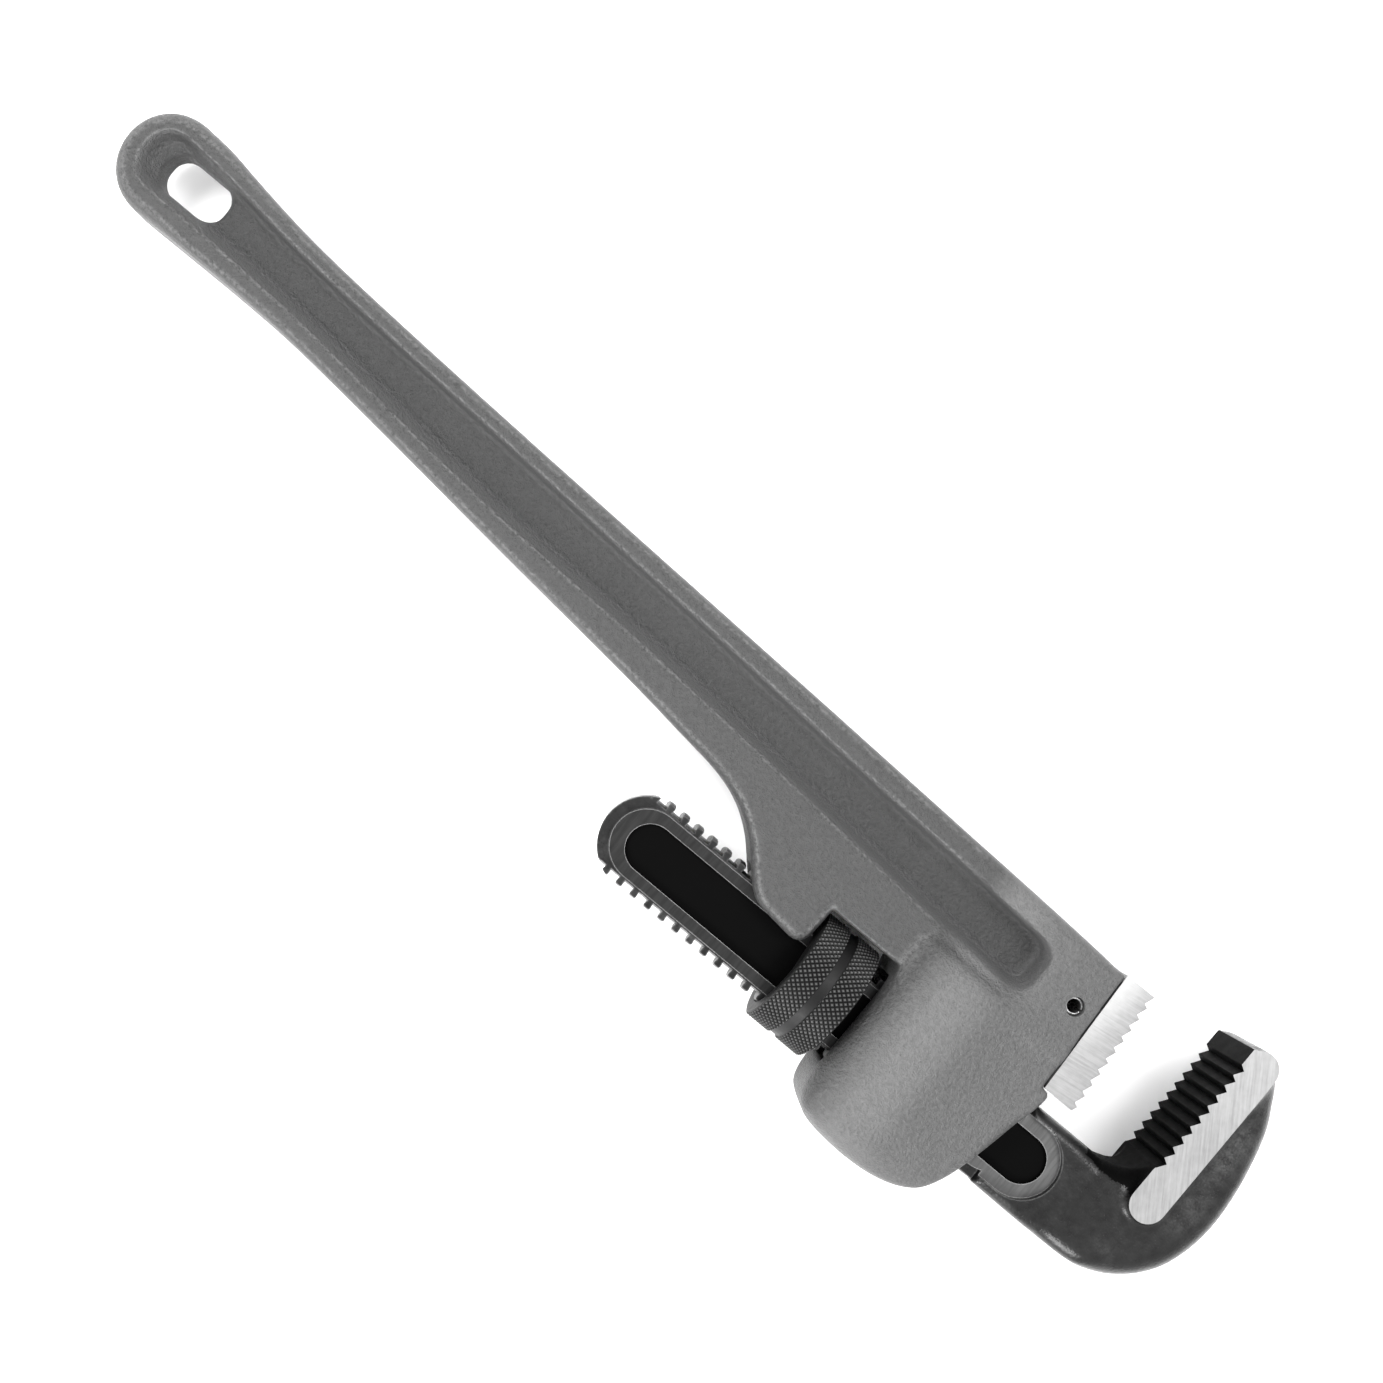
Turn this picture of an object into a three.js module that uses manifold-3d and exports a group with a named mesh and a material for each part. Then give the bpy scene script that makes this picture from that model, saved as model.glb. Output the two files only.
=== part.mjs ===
// Straight pipe wrench with an 18 inch (457 mm) nominal length, in millimetres.
// Drawing axes: X along the hook jaw's shank, from the handle end to the jaws; Y across the tool,
// towards the jaw mouth; Z through its thickness. The drawing's zero is the adjusting nut's centre.
// The finished group is moved so that its origin is the middle of its footprint, at the bottom.
import * as THREE from 'three';
import { mergeVertices } from 'three/addons/utils/BufferGeometryUtils.js';
import Module from 'manifold-3d';

const wasm = await Module();
wasm.setup();

// ---- driving dimensions ----
const running = 0.35;               // gap between the steel parts and the casting
const rockAngle = THREE.MathUtils.degToRad(2);   // how far the hook jaw rocks about the nut

const thread = {
  pitch: 5.24,
  crestRadius: 14.4,
  rootRadius: 12.0,
  crestHalfWidth: 0.75,
  rootHalfWidth: 1.2,
  phase: -1.34,                     // X of the tooth that crosses the +Y side at the nut
  stepsPerTurn: 20,
  rear: -80,
  front: 42,
};

const shank = {
  halfThickness: 6.5,
  rearCentre: -62.5,                // centre of the rounded rear end
  front: 100,
  flatEnd: { x: 76.8, radius: 11.5 },
  neckHalfThickness: 7.6,
  recess: { rear: -61.2, front: 77.0, radius: 7.3, depth: 1.3 },
};

const hook = {
  halfThickness: 11.5,
  landHalfThickness: 13.5,
  thickFrom: 97.5,                  // the thick part starts here, so that the neck can enter the housing
  toothLine: 104.9,
  toothPitch: 3.78,
  toothDepth: 1.7,
  toothCount: 10,
  firstTooth: 25.4,                 // Y of the root below the lowest tooth
  steepShare: 0.3,
  land: { x: 109.9, low: 13.3, high: 62.8, radius: 5.3 },
};

const heel = {
  halfThickness: 12.5,
  low: 19.9,
  high: 59.4,
  backLow: 66.5,
  backHigh: 64.2,
  crestLow: 77.4,
  crestHigh: 74.45,
  toothPitch: 3.79,
  toothDepth: 1.3,
  toothCount: 10,
  lowestRoot: 22.3,                 // Y of the root above the lowest tooth
  slopeShare: 0.776,                // each tooth's sloping lower flank, as a share of the pitch
  tang: { rear: 53.0, low: 34, high: 52, halfThickness: 5 },
  pin: { x: 58.2, y: 43.0, radius: 2.6, wall: 0.6, slit: 0.9, halfLength: 12.9 },
};

const nut = {
  radius: 19.0,
  halfLength: 9.7,
  rimHalfLength: 9.3,
  faceRadius: 18.4,
  bandHalfWidth: 1.7,
  bandDepth: 0.6,
  boreRadius: 12.6,
  threadClearance: 0.27,
  grooveRadius: 14.75,
};

const casting = {
  endCentre: { x: -291.2, y: 61.8 },
  endRadius: 15.8,
  webHalfThickness: 4.5,
  hole: { x: -283.2, y: 62.1, width: 22.2, height: 12.4, corner: 5.4 },
  window: { rear: -10.9, front: 13.3, top: 20.2 },
  slotHalfThickness: 8.3,
  rearSlotHalfThickness: 7.1,
  lipTop: 19.5,
};

const spring = {
  x: 42,
  meanRadius: 3.6,
  wire: 1.3,
  turns: 6,
  low: 16.2,
  high: 29.6,
  pocketRadius: 5.0,
  pocketTop: 30.6,
  leaf: { rear: 18, front: 55, thickness: 0.8, halfWidth: 5, gap: 0.35 },
};

// ---- small tools ----
const point = (x, y) => new THREE.Vector2(x, y);

function toSolid(geometry) {
  const bare = geometry.index ? geometry.toNonIndexed() : geometry.clone();
  bare.deleteAttribute('normal');
  bare.deleteAttribute('uv');
  const merged = mergeVertices(bare, 1e-4);
  return new wasm.Manifold(new wasm.Mesh({
    numProp: 3,
    vertProperties: merged.attributes.position.array,
    triVerts: new Uint32Array(merged.index.array),
  }));
}

function toMesh(name, solid, finish) {
  const { vertProperties, triVerts } = solid.getMesh();
  const geometry = new THREE.BufferGeometry();
  geometry.setAttribute('position', new THREE.BufferAttribute(vertProperties, 3));
  geometry.setIndex(new THREE.BufferAttribute(triVerts, 1));
  geometry.computeVertexNormals();
  const mesh = new THREE.Mesh(geometry, new THREE.MeshStandardMaterial(finish));
  mesh.name = name;
  return mesh;
}

function extrude(shape, low, high, curveSegments = 8) {
  const geometry = new THREE.ExtrudeGeometry(shape, {
    depth: high - low, bevelEnabled: false, curveSegments,
  });
  return geometry.translate(0, 0, low);
}

// a shape drawn in X and Y, between two heights
const slab = (shape, low, high, curveSegments) => toSolid(extrude(shape, low, high, curveSegments));

// a shape drawn in X and Z, between two Y places
function alongY(shape, low, high) {
  return toSolid(extrude(shape, 0, high - low).rotateX(Math.PI / 2).translate(0, high, 0));
}

// a shape drawn in Y and Z, between two X places
function alongX(shape, low, high) {
  const turn = new THREE.Matrix4().makeBasis(
    new THREE.Vector3(0, 1, 0), new THREE.Vector3(0, 0, 1), new THREE.Vector3(1, 0, 0));
  return toSolid(extrude(shape, low, high).applyMatrix4(turn));
}

function box(low, high) {
  const size = high.map((value, i) => value - low[i]);
  const middle = high.map((value, i) => (value + low[i]) / 2);
  return toSolid(new THREE.BoxGeometry(...size).translate(...middle));
}

// a round bar along X
function barX(radius, low, high, segments = 48) {
  const geometry = new THREE.CylinderGeometry(radius, radius, high - low, segments);
  return toSolid(geometry.rotateZ(-Math.PI / 2).translate((low + high) / 2, 0, 0));
}

// a slot with round ends: two end centres on a line along X or Y
function capsule(ax, ay, bx, by, radius) {
  const shape = new THREE.Shape();
  const heading = Math.atan2(by - ay, bx - ax);
  shape.absarc(bx, by, radius, heading - Math.PI / 2, heading + Math.PI / 2, false);
  shape.absarc(ax, ay, radius, heading + Math.PI / 2, heading + Math.PI * 1.5, false);
  return shape;
}

// a profile that is the same on both sides of the mid-plane, from its upper half
function mirrored(upper) {
  const lower = upper.map(([along, half]) => [along, -half]).reverse();
  return new THREE.Shape([...upper, ...lower].reverse().map(([along, half]) => point(along, half)));
}

// saw teeth from one point to another: each rises from its root to its crest in a share of the pitch
function sawTeeth(from, to, count, depth, share) {
  const run = to.clone().sub(from).divideScalar(count);
  const inward = point(-run.y, run.x).normalize().multiplyScalar(depth);
  const teeth = [];
  for (let i = 0; i < count; i += 1) {
    const root = from.clone().addScaledVector(run, i);
    teeth.push(root.clone().add(inward), root.clone().addScaledVector(run, share));
  }
  return teeth;
}

// a helix along X whose frames stay square to the axis
class ThreadPath extends THREE.Curve {
  constructor(radius, rear, front) {
    super();
    this.radius = radius;
    this.rear = rear;
    this.front = front;
  }

  angle(t) {
    const along = this.rear + (this.front - this.rear) * t;
    return (along - thread.phase) / thread.pitch * 2 * Math.PI;
  }

  getPoint(t, target = new THREE.Vector3()) {
    const along = this.rear + (this.front - this.rear) * t;
    const angle = this.angle(t);
    return target.set(along, this.radius * Math.cos(angle), this.radius * Math.sin(angle));
  }

  computeFrenetFrames(segments) {
    const tangents = [];
    const normals = [];
    const binormals = [];
    const lead = thread.pitch / (2 * Math.PI);
    for (let i = 0; i <= segments; i += 1) {
      const angle = this.angle(i / segments);
      const tangent = new THREE.Vector3(
        lead, -this.radius * Math.sin(angle), this.radius * Math.cos(angle)).normalize();
      const normal = new THREE.Vector3(0, Math.cos(angle), Math.sin(angle));
      tangents.push(tangent);
      normals.push(normal);
      binormals.push(new THREE.Vector3().crossVectors(tangent, normal));
    }
    return { tangents, normals, binormals };
  }
}

// one continuous thread tooth, or the groove that takes it when it is grown by a clearance
function threadSolid(rear, front, crestRadius, grow) {
  const sunk = 0.6;
  const path = new ThreadPath(thread.rootRadius, rear, front);
  const section = new THREE.Shape([
    point(-sunk, -thread.rootHalfWidth - grow),
    point(crestRadius - thread.rootRadius, -thread.crestHalfWidth - grow),
    point(crestRadius - thread.rootRadius, thread.crestHalfWidth + grow),
    point(-sunk, thread.rootHalfWidth + grow),
  ]);
  const steps = Math.round((front - rear) / thread.pitch * thread.stepsPerTurn);
  return toSolid(new THREE.ExtrudeGeometry(section, { steps, extrudePath: path, bevelEnabled: false }));
}

// ---- the casting: handle, head and housing ----
function castingOutline() {
  const { endCentre, endRadius, window, lipTop } = casting;
  const endLow = THREE.MathUtils.degToRad(268);
  const endHigh = THREE.MathUtils.degToRad(86);
  const shape = new THREE.Shape();
  shape.moveTo(endCentre.x + endRadius * Math.cos(endLow), endCentre.y + endRadius * Math.sin(endLow));
  shape.splineThru([
    point(-275, 46.3), point(-255, 46.4), point(-235, 45.8), point(-200, 42.9), point(-150, 38.2),
    point(-100, 33.8), point(-75, 31.1), point(-60, 29.2), point(-50, 25.9), point(-42, 20.6),
    point(-35, 13.4), point(-31, 9.7), point(-27, 7.9), point(-16, 6.6),
  ]);
  shape.quadraticCurveTo(window.rear - 0.6, 6.3, window.rear, 11);
  shape.lineTo(window.rear, window.top);
  shape.lineTo(window.front, window.top);
  shape.lineTo(window.front, -18.5);
  shape.quadraticCurveTo(14, -29, 25, -31.4);
  shape.splineThru([
    point(31, -32.4), point(38, -32.7), point(46, -31.7), point(53, -28.6), point(58, -24.2),
    point(61.6, -18), point(64.3, -9.5), point(66.8, 2), point(68.8, 13),
  ]);
  shape.lineTo(69.4, lipTop - 1.6);
  shape.lineTo(68.6, lipTop);
  shape.lineTo(66.3, lipTop);
  shape.lineTo(heel.backHigh - 0.25, 58.8);
  shape.splineThru([
    point(30, 60.5), point(0, 61.7), point(-40, 63.3), point(-80, 64.8), point(-120, 66.2),
    point(-160, 67.6), point(-200, 69.2), point(-230, 70.7), point(-250, 72.3), point(-268, 74.8),
    point(-280, 76.8), point(endCentre.x + endRadius * Math.cos(endHigh),
      endCentre.y + endRadius * Math.sin(endHigh)),
  ]);
  shape.absarc(endCentre.x, endCentre.y, endRadius, endHigh, endLow, false);
  return shape;
}

// half thickness of the handle, rails and cheeks, from the handle end to the front face
const plateProfile = [
  [-311, 9.2], [-302, 10.8], [-285, 11.2], [-200, 10.6], [-100, 10.9], [-40, 12.2], [10, 13.4],
  [40, 15.2], [50, 15.6], [66, 13.4], [70, 13.1],
];

// half thickness of the housing's barrel
const barrelProfile = [
  [13, 8.5], [13.4, 11.5], [15.3, 14.8], [18.6, 17.6], [23, 19.3], [27, 19.6], [37, 19.6], [41, 18.9],
  [50, 16.5], [60, 14.4], [66, 13.4], [70, 13.1],
];

// the same barrel seen along the shank
const barrelCrown = [
  [-33, 4.5], [-32.2, 8.5], [-29.8, 12.8], [-26, 16.6], [-21.5, 18.9], [-16, 19.6], [26, 19.6],
  [31, 18.2], [34, 12],
];

// the front of the head, where the barrel runs on into the cheeks beside the heel jaw
const cheekCrown = [
  [-33, 3.5], [-32, 7.5], [-29.5, 11.6], [-25, 14.8], [-20, 17.2], [-14, 19.6], [61, 19.6],
];

function channelOutline() {
  const shape = new THREE.Shape();
  shape.moveTo(42, 34.9);
  shape.quadraticCurveTo(45, 35.2, 45.2, 39);
  shape.lineTo(45.3, 48);
  shape.quadraticCurveTo(45, 52, 41, 52.2);
  shape.splineThru([
    point(25, 53.2), point(0, 54.3), point(-30, 55.6), point(-80, 58.4), point(-120, 60.2),
    point(-150, 61.8), point(-200, 64.0), point(-220, 65.0), point(-250, 67.0), point(-275, 69.9),
    point(-291, 71.2),
  ]);
  shape.bezierCurveTo(-302, 71, -302, 54, -292, 53.4);
  shape.splineThru([
    point(-270, 53.1), point(-250, 52.4), point(-225, 51), point(-200, 48.9), point(-155, 45.4),
    point(-100, 43.6), point(-45, 40.5), point(0, 37.4), point(25, 35.6), point(42, 34.9),
  ]);
  return shape;
}

function roundedHole({ x, y, width, height, corner }) {
  const reach = width / 2 - corner;
  const rise = height / 2 - corner;
  const shape = new THREE.Shape();
  shape.absarc(x + reach, y - rise, corner, -Math.PI / 2, 0, false);
  shape.absarc(x + reach, y + rise, corner, 0, Math.PI / 2, false);
  shape.absarc(x - reach, y + rise, corner, Math.PI / 2, Math.PI, false);
  shape.absarc(x - reach, y - rise, corner, Math.PI, Math.PI * 1.5, false);
  return shape;
}

function makeCasting() {
  const { window, hole, webHalfThickness, slotHalfThickness, rearSlotHalfThickness } = casting;
  const reach = 25;
  const outline = slab(castingOutline(), -reach, reach, 4);
  const plate = alongY(mirrored(plateProfile), window.top - 15, 80)
    .subtract(box([window.front, -40, -reach], [44, 31, reach]));
  const barrel = alongY(mirrored(barrelProfile), -34, 61)
    .intersect(alongX(mirrored(barrelCrown), 0, 43).add(alongX(mirrored(cheekCrown), 42.9, 71)));
  let body = outline.intersect(plate.add(barrel));

  const channel = channelOutline();
  body = body.subtract(slab(channel, webHalfThickness, reach, 4));
  body = body.subtract(slab(channel, -reach, -webHalfThickness, 4));
  body = body.subtract(slab(roundedHole(hole), -reach, reach, 6));

  // slot for the shank: forked behind the window, closed in front of it
  const top = thread.crestRadius + running;
  const lift = Math.sin(rockAngle);
  body = body.subtract(box(
    [-60, -20, -rearSlotHalfThickness], [window.rear + 1, top + 0.3, rearSlotHalfThickness]));
  const frontSlot = new THREE.Shape([
    point(window.front - 1, -top), point(72, -top), point(72, top + 72 * lift),
    point(window.front - 1, top + 1.2),
  ]);
  body = body.subtract(slab(frontSlot, -slotHalfThickness, slotHalfThickness));

  // room for the leaf spring, and the coil spring's pocket above it
  const { leaf } = spring;
  body = body.subtract(box(
    [leaf.rear - 2, 0, -leaf.halfWidth - 1], [leaf.front + 1.5, 19.2, leaf.halfWidth + 1]));
  const pocketHeight = spring.pocketTop - 10;
  const pocket = new THREE.CylinderGeometry(spring.pocketRadius, spring.pocketRadius, pocketHeight, 32);
  body = body.subtract(toSolid(pocket.translate(spring.x, 10 + pocketHeight / 2, 0)));

  // slot for the heel jaw's tang, and the hole for its pin
  const { tang, pin } = heel;
  body = body.subtract(box(
    [tang.rear - running, tang.low - running, -tang.halfThickness - running],
    [70, tang.high + running, tang.halfThickness + running]));
  body = body.subtract(slab(capsule(pin.x, pin.y, pin.x + 0.01, pin.y, pin.radius + 0.3), -reach, reach));
  return body;
}

// ---- the heel jaw and its pin ----
function makeHeelJaw() {
  const { low, high, backLow, backHigh, toothPitch, toothCount, toothDepth, lowestRoot, tang, pin } = heel;
  const crestAt = (y) => point(THREE.MathUtils.mapLinear(y, low, high, heel.crestLow, heel.crestHigh), y);
  const steepRise = toothPitch * (1 - heel.slopeShare);
  const teeth = sawTeeth(crestAt(lowestRoot), crestAt(lowestRoot + toothPitch * toothCount),
    toothCount, toothDepth, heel.slopeShare);
  const outline = new THREE.Shape([
    point(backHigh + running, high), point(backLow + running, low), point(heel.crestLow - 0.75, low),
    crestAt(lowestRoot - steepRise), ...teeth,
  ]);
  const block = slab(outline, -heel.halfThickness, heel.halfThickness);
  const tangBox = box(
    [tang.rear, tang.low, -tang.halfThickness], [backHigh + 4, tang.high, tang.halfThickness]);
  const hole = capsule(pin.x, pin.y, pin.x + 0.01, pin.y, pin.radius + 0.3);
  return block.add(tangBox).subtract(slab(hole, -heel.halfThickness - 1, heel.halfThickness + 1));
}

function makeHeelPin() {
  const { x, y, radius, wall, slit, halfLength } = heel.pin;
  const halfSlit = Math.asin(slit / 2 / radius);
  const shape = new THREE.Shape();
  shape.absarc(x, y, radius, halfSlit, 2 * Math.PI - halfSlit, false);
  shape.absarc(x, y, radius - wall, 2 * Math.PI - halfSlit, halfSlit, true);
  return slab(shape, -halfLength, halfLength, 12);
}

// ---- the hook jaw: threaded shank and toothed hook ----
function makeShank() {
  const { halfThickness, rearCentre, front, recess } = shank;
  const round = thread.crestRadius;
  const outline = slab(capsule(rearCentre, 0, front, 0, round), -halfThickness, halfThickness, 10);
  const core = barX(thread.rootRadius, thread.rear, thread.front + 2)
    .add(barX(round, thread.front, front))
    .add(threadSolid(thread.rear, thread.front + 1, round, 0));
  const recessShape = capsule(recess.rear, 0, recess.front, 0, recess.radius);
  const floor = halfThickness - recess.depth;
  return outline.intersect(core)
    .subtract(slab(recessShape, floor, halfThickness + 1))
    .subtract(slab(recessShape, -halfThickness - 1, -floor));
}

function hookOutline(rear) {
  const { toothLine, toothPitch, toothCount, toothDepth, firstTooth, steepShare } = hook;
  const topTooth = firstTooth + toothPitch * toothCount;
  const shape = new THREE.Shape();
  shape.moveTo(rear, -14.4);
  shape.lineTo(100, -14.5);
  shape.splineThru([
    point(109.8, -13.2), point(117.3, -9.6), point(124.3, -3.1), point(129, 5.5), point(131.4, 18),
    point(130.4, 33), point(126.6, 49), point(121.9, 58.7), point(118, 64.8), point(114.6, 67.4),
    point(111, 68.3),
  ]);
  shape.quadraticCurveTo(107, 68.3, toothLine, 66.2);
  // down the tooth line: every tooth's steep flank faces the throat
  sawTeeth(point(toothLine, firstTooth), point(toothLine, topTooth), toothCount, -toothDepth, steepShare)
    .reverse().forEach(({ x, y }) => shape.lineTo(x, y));
  shape.quadraticCurveTo(104.8, 17.6, 98.8, 15.6);
  shape.lineTo(95, 14.4);
  shape.lineTo(rear, 14.4);
  return shape;
}

function makeHookJaw() {
  const { halfThickness, landHalfThickness, thickFrom, land } = hook;
  const { flatEnd, neckHalfThickness } = shank;
  const outline = slab(hookOutline(flatEnd.x), -landHalfThickness, landHalfThickness, 6);
  const side = new THREE.Shape([
    point(flatEnd.x, -neckHalfThickness), point(thickFrom, -neckHalfThickness),
    point(thickFrom + 5, -halfThickness), point(140, -halfThickness), point(140, halfThickness),
    point(thickFrom + 5, halfThickness), point(thickFrom, neckHalfThickness),
    point(flatEnd.x, neckHalfThickness),
  ]);
  const milled = capsule(0, 0, flatEnd.x, 0, flatEnd.radius);
  const edges = box([0, -20, -20], [140, 80, 20]).subtract(
    box([0, -20, -20], [thickFrom, 80, 20]).subtract(barX(16.2, -1, thickFrom + 1)));
  const lands = slab(
    capsule(land.x, land.low, land.x, land.high, land.radius), -landHalfThickness, landHalfThickness);
  const toothFace = box([100, 20, -landHalfThickness], [110, 66.4, landHalfThickness]);
  const body = outline.intersect(
    alongY(side, -20, 80).intersect(edges)
      .subtract(slab(milled, shank.halfThickness, 20))
      .subtract(slab(milled, -20, -shank.halfThickness))
      .add(lands).add(toothFace));
  const recessShape = capsule(0, 0, shank.recess.front, 0, shank.recess.radius);
  const floor = shank.halfThickness - shank.recess.depth;
  return makeShank().add(body)
    .subtract(slab(recessShape, floor, 20))
    .subtract(slab(recessShape, -20, -floor));
}

// ---- the adjusting nut ----
function makeNut() {
  const { radius, halfLength, faceRadius, rimHalfLength, bandHalfWidth, bandDepth } = nut;
  const half = [
    [0, radius - bandDepth], [bandHalfWidth, radius - bandDepth], [bandHalfWidth + 0.4, radius],
    [rimHalfLength, radius], [halfLength, faceRadius], [halfLength, nut.boreRadius],
  ];
  const back = half.slice(1).map(([along, r]) => [-along, r]).reverse();
  const profile = [...back, ...half].map(([along, r]) => point(r, along));
  profile.push(profile[0].clone());
  const ring = toSolid(new THREE.LatheGeometry(profile, 48).rotateZ(-Math.PI / 2));
  const overrun = thread.pitch;
  const groove = threadSolid(
    -halfLength - overrun, halfLength + overrun, nut.grooveRadius, nut.threadClearance);
  return ring.subtract(groove);
}

// ---- the springs in the housing ----
class CoilPath extends THREE.Curve {
  getPoint(t, target = new THREE.Vector3()) {
    const angle = t * spring.turns * 2 * Math.PI;
    const rise = spring.low + spring.wire / 2 + t * (spring.high - spring.low - spring.wire);
    return target.set(
      spring.x + spring.meanRadius * Math.cos(angle), rise, -spring.meanRadius * Math.sin(angle));
  }

  computeFrenetFrames(segments) {
    const tangents = [];
    const normals = [];
    const binormals = [];
    const lead = (spring.high - spring.low - spring.wire) / (spring.turns * 2 * Math.PI);
    for (let i = 0; i <= segments; i += 1) {
      const angle = i / segments * spring.turns * 2 * Math.PI;
      const tangent = new THREE.Vector3(
        -spring.meanRadius * Math.sin(angle), lead, -spring.meanRadius * Math.cos(angle)).normalize();
      const normal = new THREE.Vector3(Math.cos(angle), 0, -Math.sin(angle));
      tangents.push(tangent);
      normals.push(normal);
      binormals.push(new THREE.Vector3().crossVectors(tangent, normal));
    }
    return { tangents, normals, binormals };
  }
}

function makeCoilSpring() {
  const section = new THREE.Shape();
  section.absarc(0, 0, spring.wire / 2, 0, 2 * Math.PI, false);
  return toSolid(new THREE.ExtrudeGeometry(section, {
    steps: spring.turns * 12, extrudePath: new CoilPath(), bevelEnabled: false, curveSegments: 4,
  }));
}

function makeFlatSpring() {
  const { rear, front, thickness, halfWidth, gap } = spring.leaf;
  const low = thread.crestRadius + gap;
  const high = low + thickness;
  const shape = new THREE.Shape();
  shape.moveTo(rear + 2, low);
  shape.lineTo(front - 2, low);
  shape.quadraticCurveTo(front - 0.8, low, front, low + 0.9);
  shape.lineTo(front - 0.5, high + 0.7);
  shape.quadraticCurveTo(front - 1.2, high, front - 2.2, high);
  shape.lineTo(rear + 2.2, high);
  shape.quadraticCurveTo(rear + 1.2, high, rear + 0.5, high + 0.7);
  shape.lineTo(rear, low + 0.9);
  shape.quadraticCurveTo(rear + 0.8, low, rear + 2, low);
  return slab(shape, -halfWidth, halfWidth, 4);
}

// ---- assembly ----
const castAluminium = { color: 0x8a8a8a, roughness: 0.55, metalness: 0.6 };
const groundSteel = { color: 0xd4d4d4, roughness: 0.35, metalness: 0.8 };
const forgedSteel = { color: 0x3c3c3c, roughness: 0.5, metalness: 0.7 };
const blackedSteel = { color: 0x2c2c2c, roughness: 0.45, metalness: 0.7 };
const springSteel = { color: 0x6a6a6a, roughness: 0.35, metalness: 0.9 };

const wrench = new THREE.Group();
wrench.add(
  toMesh('handle', makeCasting(), castAluminium),
  toMesh('heel_jaw', makeHeelJaw(), groundSteel),
  toMesh('heel_jaw_pin', makeHeelPin(), springSteel),
  toMesh('hook_jaw', makeHookJaw(), forgedSteel),
  toMesh('adjusting_nut', makeNut(), blackedSteel),
  toMesh('coil_spring', makeCoilSpring(), springSteel),
  toMesh('flat_spring', makeFlatSpring(), springSteel),
);

const footprint = new THREE.Box3().setFromObject(wrench);
const middle = footprint.getCenter(new THREE.Vector3());
wrench.position.set(-middle.x, -middle.y, -footprint.min.z);

export default wrench;
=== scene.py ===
import math
import bmesh
import bpy
import numpy as np
import openvdb
from mathutils import Matrix, Vector


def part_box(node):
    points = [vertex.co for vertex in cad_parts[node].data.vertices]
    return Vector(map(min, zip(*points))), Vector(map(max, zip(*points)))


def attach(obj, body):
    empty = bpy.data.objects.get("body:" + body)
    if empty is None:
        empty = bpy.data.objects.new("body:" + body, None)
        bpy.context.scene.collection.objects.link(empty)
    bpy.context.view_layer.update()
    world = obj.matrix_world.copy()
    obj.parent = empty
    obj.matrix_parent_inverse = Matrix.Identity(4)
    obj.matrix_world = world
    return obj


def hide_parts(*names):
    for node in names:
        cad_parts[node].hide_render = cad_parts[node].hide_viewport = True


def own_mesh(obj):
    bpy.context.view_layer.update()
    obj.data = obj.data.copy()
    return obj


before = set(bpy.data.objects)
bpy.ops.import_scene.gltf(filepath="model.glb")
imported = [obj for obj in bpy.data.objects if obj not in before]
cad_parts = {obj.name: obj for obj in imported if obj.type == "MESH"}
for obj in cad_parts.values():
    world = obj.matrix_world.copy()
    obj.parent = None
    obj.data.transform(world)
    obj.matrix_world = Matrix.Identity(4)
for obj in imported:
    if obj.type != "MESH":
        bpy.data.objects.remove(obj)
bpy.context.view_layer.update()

# Everything is drawn in millimetres round the nut's centre: X along the shank to the jaws,
# Y across to the jaw mouth, Z up through the thickness.
nutLow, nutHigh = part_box("adjusting_nut")
zero = (nutLow + nutHigh) / 2
mm = 0.001
toRow = Matrix.Translation(zero) @ Matrix.Scale(mm, 4)

thread = {
    "pitch": 5.24,
    "crestRadius": 14.4,
    "rootRadius": 12.3,
    "crestHalfWidth": 0.75,
    "rootHalfWidth": 1.2,
    "phase": -1.34,          # X of the tooth that crosses the +Y side
    "stepsPerTurn": 56,
}
running = 0.35               # gap between the steel parts and the casting
rockAngle = math.radians(2)


# outlines: a pen that draws lines, bends, splines and arcs
class Outline:
    def __init__(self, x, y):
        self.points = [(x, y)]

    def line(self, *places):
        self.points += places
        return self

    def bend(self, control, end, steps=8):
        start = self.points[-1]
        for t in np.linspace(0, 1, steps + 1)[1:]:
            self.points.append(tuple((1 - t) ** 2 * a + 2 * t * (1 - t) * c + t * t * b
                                     for a, c, b in zip(start, control, end)))
        return self

    def spline(self, *places, steps=5):
        knots = np.array([self.points[-1], *places], float)
        last = len(knots) - 1
        for i in range(last):
            start, end = knots[i], knots[i + 1]
            leave = (end - knots[max(i - 1, 0)]) / 2
            arrive = (knots[min(i + 2, last)] - start) / 2
            for t in np.linspace(0, 1, steps + 1)[1:]:
                place = ((2 * start - 2 * end + leave + arrive) * t ** 3
                         + (3 * end - 3 * start - 2 * leave - arrive) * t ** 2 + leave * t + start)
                self.points.append(tuple(place))
        return self

    def arc(self, centre, radius, start, end, steps=20):
        for angle in np.radians(np.linspace(start, end, steps + 1)):
            self.points.append((centre[0] + radius * math.cos(angle),
                                centre[1] + radius * math.sin(angle)))
        return self


def capsule(ax, ay, bx, by, radius, steps=24):
    heading = math.degrees(math.atan2(by - ay, bx - ax))
    ends = Outline(bx, by).arc((bx, by), radius, heading - 90, heading + 90, steps)
    return ends.arc((ax, ay), radius, heading + 90, heading + 270, steps).points[1:]


def mirrored(upper):
    return upper + [(along, -half) for along, half in reversed(upper)]


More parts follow.
